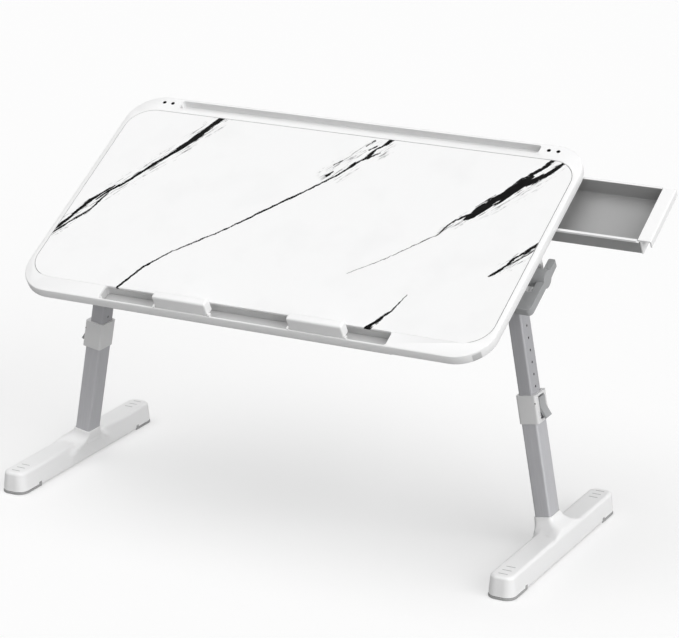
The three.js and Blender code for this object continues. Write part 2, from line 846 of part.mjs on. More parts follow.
// Leg pieces, in the leg's frame: x outwards, z up along the leg, origin on the fold axis
function tube(thickness, width, from, to) {
  const outer = roundedRectangle(
    -thickness / 2, thickness / 2, -width / 2, width / 2, tubeCornerRadius,
  );
  const inner = roundedRectangle(
    -thickness / 2 + tubeWall, thickness / 2 - tubeWall, -width / 2 + tubeWall,
    width / 2 - tubeWall, tubeCornerRadius - tubeWall,
  );
  return cut(alongZ(outer, -to, -from), alongZ(inner, -to - through, -from + through));
}

function tubeRoom(thickness, width, from, to) {
  const shape = roundedRectangle(
    -thickness / 2 - gap, thickness / 2 + gap, -width / 2 - gap, width / 2 + gap,
    tubeCornerRadius,
  );
  return alongZ(shape, -to, -from);
}

function legHead() {
  const profile = new THREE.Shape();
  profile.absarc(0, 0, headHalfThickness, 0, Math.PI);
  profile.lineTo(-headHalfThickness, -headShoulder);
  profile.lineTo(headHalfThickness, -headShoulder);
  profile.closePath();
  const head = solid(extruded(profile, -headHalfWidth, headHalfWidth).rotateX(Math.PI / 2));
  const plugX = innerTubeThickness / 2 - tubeWall - gap;
  const plugY = innerTubeWidth / 2 - tubeWall - gap;
  const plug = roundedRectangle(-plugX, plugX, -plugY, plugY, tubeCornerRadius - tubeWall);
  return cut(
    join(head, alongZ(plug, -headShoulder - headPlugLength, -headShoulder)),
    alongY(disc(0, 0, foldPinRadius + gap), -headHalfWidth - through, headHalfWidth + through),
  );
}

function innerTube() {
  let body = tube(innerTubeThickness, innerTubeWidth, headShoulder + gap, innerTubeEnd);
  for (let i = 0; i < stepHoleCount; i += 1) {
    const hole = disc(0, -firstStepHole - i * stepPitch, stepHoleRadius, smallRoundSegments);
    body = cut(
      body,
      alongX(hole, innerTubeThickness / 2 - tubeWall - through, innerTubeThickness / 2 + through),
    );
  }
  return body;
}

function outerTube() {
  return tube(outerTubeThickness, outerTubeWidth, outerTubeTop, outerTubeEnd);
}

const collarBottom = collarTop + collarHeight;
const clipAxis = { x: clipPinOut, z: -(collarTop + clipPinDrop) };

function collar() {
  const shape = roundedRectangle(
    -collarInner, collarOuter, -collarHalfWidth, collarHalfWidth, collarCornerRadius,
  );
  const clipRoom = block(
    outerTubeThickness / 2, collarOuter + through, -clipWidth / 2 - gap, clipWidth / 2 + gap,
    -collarBottom + clipBottomWall, -(collarTop + clipTop) + clipTopRoom,
  );
  const pinHole = disc(clipAxis.z, clipAxis.x, clipPinRadius + gap, smallRoundSegments);
  return cut(
    alongZ(shape, -collarBottom, -collarTop),
    tubeRoom(outerTubeThickness, outerTubeWidth, collarTop + collarLip, collarBottom + through),
    tubeRoom(innerTubeThickness, innerTubeWidth, collarTop - through, collarBottom),
    clipRoom,
    alongY(pinHole, -collarHalfWidth - through, collarHalfWidth + through),
  );
}

function clipPin() {
  const shape = disc(clipAxis.z, clipAxis.x, clipPinRadius, smallRoundSegments);
  return alongY(shape, -collarHalfWidth, collarHalfWidth);
}

// Clip lever: a plate beside the collar that kicks out at its lower end
function clipLever() {
  const topEnd = -(collarTop + clipTop);
  const outer = clipAxis.x + clipPlateThickness;
  const bend = topEnd - clipPlateLength;
  const tip = bend - clipKickLength;
  const thin = clipPlateThickness * clipTipShare;
  const plate = outline(
    [topEnd, clipAxis.x],
    [topEnd, outer],
    [bend, outer],
    [tip, outer + clipKickOut],
    [tip - thin / 2, outer + clipKickOut - thin],
    [bend - thin / 2, outer - thin],
    [bend + thin, clipAxis.x],
  );
  const boss = disc(clipAxis.z, clipAxis.x, clipBossRadius, smallRoundSegments);
  const bore = disc(clipAxis.z, clipAxis.x, clipPinRadius + gap, smallRoundSegments);
  const half = clipWidth / 2;
  return cut(
    join(alongY(plate, -half, half), alongY(boss, -half, half)),
    alongY(bore, -half - through, half + through),
  );
}

// Foot, in its own frame: origin where the leg's axis meets the floor, leg leaning inwards.
// The two feet are equally long, and each reaches its own way in front of and behind its leg.
const footReach = {
  left: { front: leftFootFront, rear: leftFootRear },
  right: { front: rightFootFront, rear: rightFootRear },
};
const footFrame = new THREE.Matrix4().makeRotationY(-splay);

function footSection(reach, inset, height) {
  const shape = roundedRectangle(
    -footInner + inset, footOuter - inset, -reach.front + inset, reach.rear - inset,
    footCornerRadius - inset,
  );
  return shape.getPoints(arcSegments).map(({ x, y }) => new THREE.Vector3(x, y, height));
}

function footBar(reach) {
  const shoulder = footHeight - footEdge;
  const points = footSection(reach, 0, footClearance);
  for (let i = 0; i <= footEdgeSteps; i += 1) {
    const turn = (Math.PI / 2) * (i / footEdgeSteps);
    const inset = footDraft + footEdge * (1 - Math.cos(turn));
    points.push(...footSection(reach, inset, shoulder + footEdge * Math.sin(turn)));
  }
  return solid(new ConvexGeometry(points));
}

// The neck is where a side view with two flares and a front view with one flare meet
function neckSideView() {
  const base = neckHalfWidth + neckFlareLength;
  const rise = neckTop - neckFlareHeight;
  const shape = new THREE.Shape();
  shape.moveTo(neckHalfWidth, neckTop);
  shape.lineTo(-neckHalfWidth, neckTop);
  shape.bezierCurveTo(
    -neckHalfWidth, rise + neckFlareHeight / 3, -neckHalfWidth - neckFlareLength / 3, rise,
    -base, rise,
  );
  shape.lineTo(-base, neckFoot);
  shape.lineTo(base, neckFoot);
  shape.lineTo(base, rise);
  shape.bezierCurveTo(
    neckHalfWidth + neckFlareLength / 3, rise, neckHalfWidth, rise + neckFlareHeight / 3,
    neckHalfWidth, neckTop,
  );
  return shape;
}

function neckFrontView() {
  const lean = Math.tan(splay);
  const shape = new THREE.Shape();
  const topZ = neckTop + neckHalfThickness;
  const outerTop = neckHalfThickness / Math.cos(splay) - topZ * lean;
  const innerTop = -neckHalfThickness / Math.cos(splay) - topZ * lean;
  const shoulder = footHeight - footEdge / 2;
  const shoulderOut = footOuter - footDraft - footEdge / 2;
  shape.moveTo(outerTop, topZ);
  shape.lineTo(innerTop, topZ);
  shape.lineTo(innerTop + (topZ - 2 * neckFoot) * lean, 2 * neckFoot);
  shape.quadraticCurveTo(
    innerTop + (topZ - neckFoot) * lean, neckFoot, -footInner + footEdge, neckFoot,
  );
  shape.lineTo(footOuter - footEdge, neckFoot);
  shape.lineTo(shoulderOut, shoulder);
  const waist = outerTop + (topZ - neckTop) * lean;
  shape.quadraticCurveTo(
    waist + (neckTop - shoulder) * lean + neckFillet, shoulder + neckFillet, waist, neckTop,
  );
  return shape;
}

function neck() {
  const reach = 3 * neckHalfThickness;
  const sideView = extruded(neckSideView(), -reach, reach).applyMatrix4(yzToX);
  const frontView = extruded(neckFrontView(), -2 * reach, 2 * reach).rotateX(Math.PI / 2);
  return solid(sideView.applyMatrix4(footFrame)).intersect(solid(frontView));
}

function gripLines(reach, way) {
  const end = way > 0 ? reach.rear : reach.front;
  const cuts = [];
  for (let i = 0; i < gripLineCount; i += 1) {
    const y = way * (end - gripLineFromEnd - i * gripLinePitch);
    const middle = (footOuter - footInner) / 2;
    cuts.push(block(
      middle - gripLineLength / 2, middle + gripLineLength / 2,
      y - gripLineWidth / 2, y + gripLineWidth / 2,
      footHeight - gripLineDepth, footHeight + through,
    ));
  }
  return cuts;
}

function soleCells(reach, way) {
  const end = (way > 0 ? reach.rear : reach.front) - padLength - cellRib;
  const count = Math.max(1, Math.floor((end - cellFieldFromLeg) / cellPitch));
  const rowWidth = (footOuter + footInner - 2 * footEdge - cellRib) / 2;
  const cells = [];
  for (let i = 0; i < count; i += 1) {
    for (const row of [0, 1]) {
      const x = -footInner + footEdge + row * (rowWidth + cellRib);
      const near = cellFieldFromLeg + i * cellPitch;
      const far = near + cellPitch - cellRib;
      cells.push(block(
        x, x + rowWidth, Math.min(way * near, way * far), Math.max(way * near, way * far),
        -through, footClearance + cellDepth,
      ));
    }
  }
  return cells;
}

// A sole pad lies under each end of the foot, with an upright tab at its inner end
function padRoom(reach, way, clearance) {
  const far = reach.front + reach.rear;
  const start = (way > 0 ? reach.rear : reach.front) - padLength - clearance;
  const tabEnd = start + padTabLength + 2 * clearance;
  const flat = way > 0
    ? block(-far, far, start, far, -through, padThickness + clearance)
    : block(-far, far, -far, -start, -through, padThickness + clearance);
  const tab = way > 0
    ? block(-far, far, start, tabEnd, -through, padTabHeight + clearance)
    : block(-far, far, -tabEnd, -start, -through, padTabHeight + clearance);
  return join(flat, tab);
}

function footPad(reach, way) {
  const outer = roundedRectangle(
    -footInner, footOuter, -reach.front, reach.rear, footCornerRadius,
  );
  return alongZ(outer, 0, footHeight).intersect(padRoom(reach, way, 0));
}

function foot(reach) {
  const far = reach.front + reach.rear;
  const socket = tubeRoom(
    outerTubeThickness, outerTubeWidth,
    neckTopFromAxis - neckTop, neckTopFromAxis + tubeSocketDepth,
  );
  const socketGeometry = geometryOf(socket).translate(0, 0, legLength).applyMatrix4(footFrame);
  const neckTrim = new THREE.BoxGeometry(far, far, far);
  neckTrim.translate(0, 0, far / 2 + neckTop).applyMatrix4(footFrame);
  return cut(
    join(footBar(reach), neck()),
    solid(neckTrim),
    solid(socketGeometry),
    padRoom(reach, 1, gap),
    padRoom(reach, -1, gap),
    ...gripLines(reach, 1),
    ...gripLines(reach, -1),
    ...soleCells(reach, 1),
    ...soleCells(reach, -1),
  );
}

for (const [side, sign] of Object.entries(sides)) {
  addPart(top, `bracket_${side}`, bracket(), 'bracket', sign);
  bracketScrewPlaces.forEach(([x, y], i) => {
    const length = screwHeadThickness + basePlateThickness + panelThickness + screwBite;
    const body = screw(x, y, basePlateFace - gap, length);
    addPart(top, `bracket_screw_${side}_${i + 1}`, body, 'steel', sign);
  });
  addPart(top, `tilt_lever_${side}`, tiltLever(), 'lever', sign);
  addPart(top, `lock_disc_${side}`, lockDisc(), 'steel', sign);
  addPart(top, `tilt_pin_${side}`, tiltPin(), 'steel', sign);

  addPart(model, `yoke_${side}`, yoke(), 'yoke', sign);
  addPart(model, `fold_pin_${side}`, foldPin(), 'steel', sign);

  const leg = new THREE.Group();
  leg.position.set(sign * foldAxisOut, 0, foldAxisHeight);
  leg.rotation.y = -sign * splay;
  model.add(leg);
  addPart(leg, `leg_head_${side}`, legHead(), 'yoke', sign);
  addPart(leg, `inner_tube_${side}`, innerTube(), 'innerTube', sign);
  addPart(leg, `outer_tube_${side}`, outerTube(), 'outerTube', sign);
  addPart(leg, `collar_${side}`, collar(), 'collar', sign);
  addPart(leg, `clip_pin_${side}`, clipPin(), 'steel', sign);
  addPart(leg, `clip_lever_${side}`, clipLever(), 'lever', sign);

  const base = new THREE.Group();
  base.position.x = sign * footOut;
  model.add(base);
  const reach = footReach[side];
  addPart(base, `foot_${side}`, foot(reach), 'rim', sign);
  addPart(base, `foot_pad_front_${side}`, footPad(reach, -1), 'pad', sign);
  addPart(base, `foot_pad_rear_${side}`, footPad(reach, 1), 'pad', sign);
}

// Stand the object on z = 0 with the middle of its footprint box at the origin
const bounds = new THREE.Box3().setFromObject(model, true);
const middle = bounds.getCenter(new THREE.Vector3());
const object = new THREE.Group();
model.position.set(-middle.x, -middle.y, -bounds.min.z);
object.add(model);
object.updateMatrixWorld(true);

export default object;
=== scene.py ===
# %% [markdown]
# # A folding laptop stand, dressed for its picture
#
# The stand has a tilting white top with a marble print, a drawer under its right end, a slot
# for a tablet, a trough with two stoppers, and two telescopic legs on long feet. Its exact
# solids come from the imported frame. This lesson dresses them: sharp edges are rounded, the
# feet and the stoppers get their full curved forms, and every piece gets a finish of its own.

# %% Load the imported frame
import json
import math

import bmesh
import bpy
import numpy as np
from mathutils import Matrix, Vector


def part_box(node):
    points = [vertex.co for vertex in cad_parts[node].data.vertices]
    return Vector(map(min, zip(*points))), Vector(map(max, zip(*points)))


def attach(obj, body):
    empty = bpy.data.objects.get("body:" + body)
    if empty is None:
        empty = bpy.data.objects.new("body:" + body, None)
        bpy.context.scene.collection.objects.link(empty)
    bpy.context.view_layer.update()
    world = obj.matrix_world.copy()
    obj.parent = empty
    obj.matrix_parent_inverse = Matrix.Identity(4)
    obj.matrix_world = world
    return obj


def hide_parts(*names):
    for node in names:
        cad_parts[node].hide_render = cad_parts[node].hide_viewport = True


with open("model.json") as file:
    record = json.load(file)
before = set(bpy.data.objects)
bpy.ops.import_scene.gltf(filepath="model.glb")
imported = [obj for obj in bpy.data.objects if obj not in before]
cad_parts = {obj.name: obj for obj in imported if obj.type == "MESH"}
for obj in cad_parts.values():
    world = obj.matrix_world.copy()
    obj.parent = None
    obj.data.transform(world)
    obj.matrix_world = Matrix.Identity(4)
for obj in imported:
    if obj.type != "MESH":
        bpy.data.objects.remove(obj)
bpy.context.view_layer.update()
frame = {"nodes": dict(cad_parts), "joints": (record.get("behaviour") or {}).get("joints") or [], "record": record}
nodes = frame["nodes"]
record = frame["record"]
joints = {joint["name"]: joint for joint in frame["joints"]}
slot_of = {part["node"]: part["material_slot"] for part in record["subparts"]}
body_of = {node: body for body, members in record["behaviour"]["bodies"].items()
           for node in members}

# %% [markdown]
# ## Where things are
#
# The top is tilted, so its print and its stoppers are easiest to describe in the top's own
# frame: u across, v towards the back, w up from the face. The record's mount on the face
# gives the middle of the top and the direction that it faces. A foot has a frame too: its
# origin is the point where the leg's middle line meets the floor.

# %% The frames of the top and of the feet
MM = 0.001

mounts = {mount["name"]: mount for mount in record["mounts"]}
top_middle = Vector(mounts["work_surface"]["pos_m"])
top_faces = Vector(mounts["work_surface"]["axis"])
tilt = math.atan2(-top_faces.y, top_faces.z)
top_place = np.array(Matrix.Translation(top_middle) @ Matrix.Rotation(tilt, 4, "X"))


def placed(points, place):
    """Points in millimetres of a frame, as metres in the row's frame: turned, then shifted."""
    return points * MM @ place[:3, :3].T + place[:3, 3]


leg_side = {"left": -1, "right": 1}
leg_way = {side: Vector(joints[f"extend_{side}"]["axis"]) for side in leg_side}
leg_start = {side: Vector(joints[f"fold_{side}"]["pos_m"]) for side in leg_side}
foot_origin = {}
for side in leg_side:
    reach = leg_start[side].z / -leg_way[side].z
    foot_origin[side] = leg_start[side] + reach * leg_way[side]
splay = math.acos(-leg_way["right"].z)
print("top tilted", round(math.degrees(tilt), 2), "legs splayed", round(math.degrees(splay), 2))

# %% [markdown]
# ## Shader sums written as Python
#
# A pattern such as a vein is arithmetic: how far is this point from a line, and is that less
# than the vein's width? In the node editor it would take dozens of Math nodes wired by hand.
# `Wire` wraps one socket and lets Python's own signs add those nodes, so the formula can be
# read as a formula. `Finish` makes one material, and its `node` method adds any other node.

# %% A socket that can be added, multiplied and compared
class Wire:
    """One socket's value. Signs and methods add Math nodes that work on it."""

    def __init__(self, finish, socket):
        self.finish = finish
        self.socket = socket

    def math(self, operation, *others):
        values = dict(enumerate((self, *others)))
        return self.finish.node("ShaderNodeMath", {"operation": operation}, values)

    def __add__(self, other):
        return self.math("ADD", other)

    def __radd__(self, other):
        return self.math("ADD", other)

    def __sub__(self, other):
        return self.math("SUBTRACT", other)

    def __rsub__(self, other):
        return self.math("MULTIPLY", -1).math("ADD", other)

    def __mul__(self, other):
        return self.math("MULTIPLY", other)

    def __rmul__(self, other):
        return self.math("MULTIPLY", other)

    def __truediv__(self, other):
        return self.math("DIVIDE", other)

    def __neg__(self):
        return self.math("MULTIPLY", -1)

    def __pow__(self, other):
        return self.math("POWER", other)

    def __abs__(self):
        return self.math("ABSOLUTE")

    def least(self, other):
        return self.math("MINIMUM", other)

    def most(self, other):
        return self.math("MAXIMUM", other)

    def share(self):
        """The value kept between nought and one."""
        return self.math("MAXIMUM", 0).math("MINIMUM", 1)


print("a wire can be added, multiplied, divided, raised and compared")

# %% A material and its nodes
class Finish:
    """One material. node() adds a node, sets it up and fills its sockets."""

    def __init__(self, name):
        self.material = bpy.data.materials.new(name)
        self.material.use_nodes = True
        self.tree = self.material.node_tree
        self.tree.nodes.clear()
        self.frames = {}

    def node(self, kind, settings, values, out=0):
        made = self.tree.nodes.new(kind)
        for key, setting in settings.items():
            if key == "stops":
                self.set_stops(made.color_ramp, setting)
            else:
                setattr(made, key, setting)
        for key, value in values.items():
            if isinstance(value, Wire):
                self.tree.links.new(value.socket, made.inputs[key])
            else:
                made.inputs[key].default_value = value
        return Wire(self, made.outputs[out])

    def set_stops(self, ramp, stops):
        """Each stop is a place on the ramp and a level of grey."""
        while len(ramp.elements) < len(stops):
            ramp.elements.new(1)
        for element, (place, level) in zip(ramp.elements, stops):
            element.position = place
            element.color = (level, level, level, 1)

    def coordinates(self, place=(0, 0, 0), turn=(0, 0, 0)):
        """Object coordinates as seen from a frame at that place, turned by that angle."""
        key = (tuple(place), tuple(turn))
        if key not in self.frames:
            plain = self.node("ShaderNodeTexCoord", {}, {}, "Object")
            self.frames[key] = self.node("ShaderNodeMapping", {"vector_type": "TEXTURE"}, {
                "Vector": plain, "Location": tuple(place), "Rotation": tuple(turn)})
        return self.frames[key]

    def parts(self, vector):
        """A vector's three parts."""
        split = self.node("ShaderNodeSeparateXYZ", {}, {"Vector": vector})
        outputs = split.socket.node.outputs
        return [Wire(self, outputs[axis]) for axis in "XYZ"]

    def stretched(self, vector, stretch):
        return self.node("ShaderNodeVectorMath", {"operation": "MULTIPLY"},
                         {0: vector, 1: stretch})

    def noise(self, vector, scale, detail=3.0, roughness=0.5):
        return self.node("ShaderNodeTexNoise", {}, {
            "Vector": vector, "Scale": scale, "Detail": detail, "Roughness": roughness}, "Fac")

    def mixed(self, share, first, second):
        """The first colour where the share is nought, the second where it is one."""
        return self.node("ShaderNodeMix", {"data_type": "RGBA"}, {
            "Factor": share, 6: first, 7: second}, 2)

    def bump(self, height, distance):
        """A normal tipped by a height map whose value of one stands for that distance."""
        return self.node("ShaderNodeBump", {}, {
            "Height": height, "Distance": distance, "Strength": 1.0})

    def surface(self, **values):
        """Ends the material in a Principled shader with these sockets."""
        named = {key.replace("_", " ").title().replace("Ior", "IOR"): value
                 for key, value in values.items()}
        self.ended_in(self.node("ShaderNodeBsdfPrincipled", {}, named))
        return self.material

    def ended_in(self, shader):
        end = self.tree.nodes.new("ShaderNodeOutputMaterial")
        self.tree.links.new(shader.socket, end.inputs["Surface"])


def linear(level):
    """A screen level as light: ((level + 0.055) / 1.055) to the power 2.4."""
    return max((level + 0.055) / 1.055, 0.0) ** 2.4


def grey(level, warmth=0.0, violet=0.0):
    """A nearly neutral screen colour: warmth gives a little more red and less blue, violet
    a little less green."""
    return (linear(level + warmth), linear(level - violet), linear(level - warmth), 1.0)


print("shader sums ready")

# %% [markdown]
# ## Moulded plastic
#
# Rim, feet, covers, brackets and levers are injection moulded. Such plastic is never quite
# smooth or quite even: it has a fine eroded texture from the mould, slow waves a hand's
# width across, and smaller clouds where hands have rubbed it. All three are noise at
# different scales. The fine one tips the normal, the slower two move colour and gloss.

# %% One recipe for every moulded plastic
WAVES, CLOUDS = 7.0, 55.0     # how many to a metre
MOULDED_SPECULAR = 0.45


def moulded(name, level, warmth=0.0, gloss=0.4, grain=0.035, grain_size=0.6, uneven=0.015,
            painted_light=None):
    """Colour = level + uneven * slow noise; roughness = gloss + noise; bump = fine noise.

    grain is the depth of the mould's texture and grain_size its width, in millimetres.
    The last argument, where given, is a formula for where light or shade is painted on
    the piece, and for the colour painted there.
    """
    finish = Finish(name)
    place = finish.coordinates()
    slow = finish.noise(place, WAVES, 2.0)
    cloud = finish.noise(place, CLOUDS, 4.0, 0.6)
    fine = finish.noise(place, 1 / (grain_size * MM), 2.0)
    shade = (slow - 0.5) * 2 + (cloud - 0.5)
    colour = finish.mixed((shade * 0.5 + 0.5).share(), grey(level - uneven, warmth),
                          grey(level + uneven, warmth))
    # Painted light or shade: where the formula says, the colour becomes the painted one
    if painted_light:
        share, other = painted_light(finish)
        colour = finish.mixed(share, colour, other)
    rough = gloss + (cloud - 0.5) * 0.18 + (fine - 0.5) * 0.1
    return finish.surface(
        base_color=colour, roughness=rough.share(),
        normal=finish.bump(fine, grain * MM), specular_ior_level=MOULDED_SPECULAR)


print("one recipe, with", WAVES, "waves and", CLOUDS, "clouds to a metre")

# %% The top's white plastic, with painted shade in its hollows and cord holes
WALL_U, WALL_V = 340.0, 186.0             # half the top, less its outer wall
# the painted shade in the hollows starts at this depth below the top's face and fades in over the next
HOLLOW_SHADE_FROM, HOLLOW_SHADE_FADE = 1.2, 3.0       # depth where the darker shade starts, and its fade
# the cord holes' places, and the radius of the near black disc painted there as their shade
CORD_HOLES_U, CORD_HOLES_V, CORD_HOLE_SHADE_RADIUS = (291.0, 304.7), 184.0, 3.1


def in_top(finish):
    """u, v and w in the top's frame, in millimetres."""
    return [part * 1000 for part in finish.parts(
        finish.coordinates(top_middle, (tilt, 0, 0)))]


def painted_hollow_shade(finish):
    """Painted shade: share = (depth below the top's face - start) / fade, for the shade in the
    hollows; near black painted in and round the cord holes, for their shade.
    """
    u, v, w = in_top(finish)
    inside = (WALL_U - abs(u)).least(WALL_V - abs(v)).share()
    from_hole = [((abs(u) - place) ** 2 + (v - CORD_HOLES_V) ** 2) ** 0.5
                 for place in CORD_HOLES_U]
    # Painted shade: a grey that deepens below the top's face, and near black in and round the cord holes
    hole = ((CORD_HOLE_SHADE_RADIUS - from_hole[0].least(from_hole[1])) * 2).share()
    deep = ((-w - HOLLOW_SHADE_FROM) / HOLLOW_SHADE_FADE).share() * inside
    dark = finish.mixed(hole, grey(0.78), grey(0.06))
    return deep.most(hole), dark


white_plastic = moulded("satin white plastic", 0.95, gloss=0.36, grain=0.012,
                        uneven=0.008, painted_light=painted_hollow_shade)
print("white plastic made")

# %% The other moulded plastics
panel_plastic = moulded("underside panel plastic", 0.91, gloss=0.5, grain=0.03)
cover_plastic = moulded("cover plastic", 0.77, gloss=0.46, grain=0.03)
bracket_plastic = moulded("bracket plastic", 0.88, gloss=0.46, grain=0.03)
yoke_plastic = moulded("yoke plastic", 0.79, 0.002, gloss=0.46, grain=0.03)
lever_plastic = moulded("lever plastic", 0.64, -0.004, gloss=0.45, grain=0.05)
collar_plastic = moulded("collar plastic", 0.87, gloss=0.42, grain=0.03)
pad_rubber = moulded("sole rubber", 0.64, gloss=0.82, grain=0.12, grain_size=0.9, uneven=0.03)
print("seven more plastics made")

# %% The drawer's plastic, with a painted highlight on its walls' upper edges
FRONT_HIGHLIGHT_DEPTH, BACK_HIGHLIGHT_DEPTH, HIGHLIGHT_REACH = 3.2, 1.0, 4.0


def flat_extent(node):
    """The node's least and greatest (u, v, w) in the top's frame, in millimetres."""
    mesh = nodes[node].data
    points = np.empty(3 * len(mesh.vertices))
    mesh.vertices.foreach_get("co", points)
    flat = (points.reshape(-1, 3) - np.array(top_middle)) @ np.array(top_place)[:3, :3]
    return flat.min(0) / MM, flat.max(0) / MM


def painted_edge_highlight(finish):
    """Painted highlight: share = 1 on the upper few millimetres of the tray's front wall and the
    uppermost one behind, where the light catches the walls' edges."""
    low, high = flat_extent("drawer_tray")
    _, v, w = in_top(finish)
    front = (low[1] + HIGHLIGHT_REACH - v).share() * ((w - high[2] + FRONT_HIGHLIGHT_DEPTH) * 3).share()
    back = (v - high[1] + HIGHLIGHT_REACH).share() * ((w - high[2] + BACK_HIGHLIGHT_DEPTH) * 3).share()
    # Painted highlight: the walls' upper edges turn near white
    return front.most(back), grey(0.93)


tray_plastic = moulded("drawer plastic", 0.63, gloss=0.5, grain=0.05, painted_light=painted_edge_highlight)
print("drawer plastic made")

# %% [markdown]
# ## Metal
#
# The tubes are drawn aluminium, brushed along their length and anodised. Brushing is noise
# squeezed across the tube and stretched along it, so the coordinates are first turned by
# the leg's splay. The screws and pins are plated steel: bright, with a fine grain and faint
# stains.

# %% Brushed tubes
CATCH_HOLES = (53.4, 16.5)                # the first one's place along the leg, and the pitch
# the radius of the dark disc painted at each catch hole as its shade
CATCH_SHADE_RADIUS = 2.3


def brushed(name, level, side, gloss=0.5, steps=None):
    """Colour and roughness follow streak noise that is 60 times longer along the leg.

    steps gives the first catch hole's place along the leg and the pitch of the next ones:
    a dark disc is painted at each as the hole's shade.
    """
    finish = Finish(name)
    turn = (0, -leg_side[side] * splay, 0)
    place = finish.coordinates(leg_start[side], turn)
    streak = finish.noise(finish.stretched(place, (1.0, 1.0, 1 / 60)), 2600.0, 2.0)
    band = finish.noise(finish.stretched(place, (1.0, 1.0, 1 / 20)), 300.0, 2.0)
    cloud = finish.noise(place, 30.0, 3.0)
    shade = (streak - 0.5) * 0.8 + (band - 0.5) * 0.6 + 0.5
    colour = finish.mixed(shade.share(), grey(level - 0.035, -0.006, 0.006),
                          grey(level + 0.035, -0.006, 0.006))
    if steps:
        first, pitch = steps
        _, y, z = (part * 1000 for part in finish.parts(place))
        past = -z - first + pitch / 2
        nearest = past.math("MODULO", pitch) - pitch / 2
        # Painted shade: a dark disc at each catch hole
        rim = (CATCH_SHADE_RADIUS - (nearest ** 2 + y ** 2) ** 0.5).share() * past.share()
        colour = finish.mixed(rim * 0.8, colour, grey(0.28))
    rough = gloss + (streak - 0.5) * 0.16 + (cloud - 0.5) * 0.08
    return finish.surface(
        base_color=colour, metallic=0.2, roughness=rough.share(),
        specular_ior_level=0.35,
        normal=finish.bump(streak, 0.006 * MM))


outer_tube_metal = {s: brushed(f"outer tube metal {s}", 0.765, s) for s in leg_side}
inner_tube_metal = {s: brushed(f"inner tube metal {s}", 0.695, s, 0.52, CATCH_HOLES)
                    for s in leg_side}
print("tube metals made")

# %% Plated steel
def plated(name, level):
    """Bright metal: fine noise for the plating's grain and slower noise for its stains."""
    finish = Finish(name)
    place = finish.coordinates()
    fine = finish.noise(place, 4000.0, 2.0)
    stain = finish.noise(place, 240.0, 4.0, 0.65)
    colour = finish.mixed(stain, grey(level - 0.05, 0.006), grey(level + 0.03))
    rough = 0.26 + (stain - 0.5) * 0.2
    return finish.surface(
        base_color=colour, metallic=1.0, roughness=rough.share(),
        normal=finish.bump(fine, 0.004 * MM))


steel = plated("plated steel", 0.84)
print("steel made")

# %% [markdown]
# ## The fibreboard core
#
# Between the printed board and the underside panel lies a core of pressed wood fibre. It is
# seen only at screw holes and in cut edges, but it gets its speckle: two noises, one nearly
# round for the chips and one stretched for the fibres.

# %% Pressed wood fibre
def fibreboard():
    """Brown = light and dark straw colours mixed by chip noise times fibre noise."""
    finish = Finish("fibreboard")
    place = finish.coordinates()
    chips = finish.noise(place, 900.0, 3.0, 0.7)
    fibres = finish.noise(finish.stretched(place, (0.12, 1.0, 1.0)), 2200.0, 2.0)
    share = (chips * 0.7 + fibres * 0.6 - 0.15).share()
    colour = finish.mixed(share, (0.34, 0.21, 0.10, 1), (0.64, 0.47, 0.28, 1))
    return finish.surface(
        base_color=colour, roughness=0.85, normal=finish.bump(chips, 0.15 * MM))


core_fibre = fibreboard()
print("fibreboard made")

# %% [markdown]
# ## The marble print
#
# The board carries a printed marble: white ground, a few bold black veins and soft grey
# streaks beside them. A photograph of marble would be the usual texture; here each vein is
# a formula, which stays sharp at any size. A vein runs from its first to its last point.
# `along` is the share of that way, `aside` the distance from the straight line. One ramp
# gives the vein's bend, another its half width, and noise frays its edges.

# %% A vein as a formula
VEIN_TURN = 57.0      # the veins' way on the board, in degrees from u
STREAKY = 2.6         # how much the streaks widen and narrow a vein


class Marble(Finish):
    """The printed board's material, in the top's frame, in millimetres."""

    def __init__(self):
        super().__init__("marble print")
        place = self.coordinates(top_middle, (tilt, 0, 0))
        self.place = self.stretched(place, (1000.0,) * 3)
        self.u, self.v, _ = self.parts(self.place)
        self.fray = self.noise(self.place, 0.11, 4.0, 0.65) - 0.5
        self.fine_fray = self.noise(self.place, 0.6, 3.0, 0.7) - 0.5
        turned = self.node("ShaderNodeMapping", {"vector_type": "TEXTURE"}, {
            "Vector": self.place, "Rotation": (0, 0, math.radians(VEIN_TURN))})
        self.streaks = self.noise(self.stretched(turned, (0.11, 1.0, 1.0)), 0.34, 4.0, 0.62)

    def frame_of(self, first, last):
        """along and aside of every point, for the straight line between two points, and
        the line's length."""
        way = np.subtract(last, first)
        length = float(np.hypot(*way))
        cos, sin = way / length
        du, dv = self.u - first[0], self.v - first[1]
        return (du * cos + dv * sin) / length, dv * cos - du * sin, length

    def ramp(self, along, places, numbers):
        """A number that changes along the line: straight steps between the given ones."""
        low, high = min(numbers), max(numbers)
        span = max(high - low, 1e-6)
        stops = [(float(p), float((n - low) / span)) for p, n in zip(places, numbers)]
        raw = self.node("ShaderNodeValToRGB", {"stops": stops}, {"Fac": along})
        return raw * span + low

    def vein(self, points, fray=1.0, soft=0.9):
        """Ink share: (half width - distance from the bent line) / soft, kept in 0..1."""
        points = np.array(points, float)
        first, last = points[0, :2], points[-1, :2]
        along, aside, length = self.frame_of(first, last)
        way = (last - first) / length
        steps = points[:, :2] - first
        places = steps @ way / length
        bends = steps @ np.array([-way[1], way[0]])
        bend = self.ramp(along, places, bends)
        half = self.ramp(along, places, points[:, 2])
        ragged = self.fray * fray * 5 + self.fine_fray * fray * 1.4
        half = half * (1 + (self.streaks - 0.5) * STREAKY)
        distance = abs(aside - bend + ragged)
        ends = (along.least(1 - along) * (length / soft) + 0.5).share()
        return ((half - distance) / soft + 0.5).share() * ends


print("vein formula ready")

# %% [markdown]
# ## Where the veins run
#
# Each vein is a list of (u, v, half width) in millimetres, read off like a map. Forks are
# separate veins that share a point. The widest one ends in a thin tail, and the one that
# starts at the left edge opens as two dark lines with grey between them.

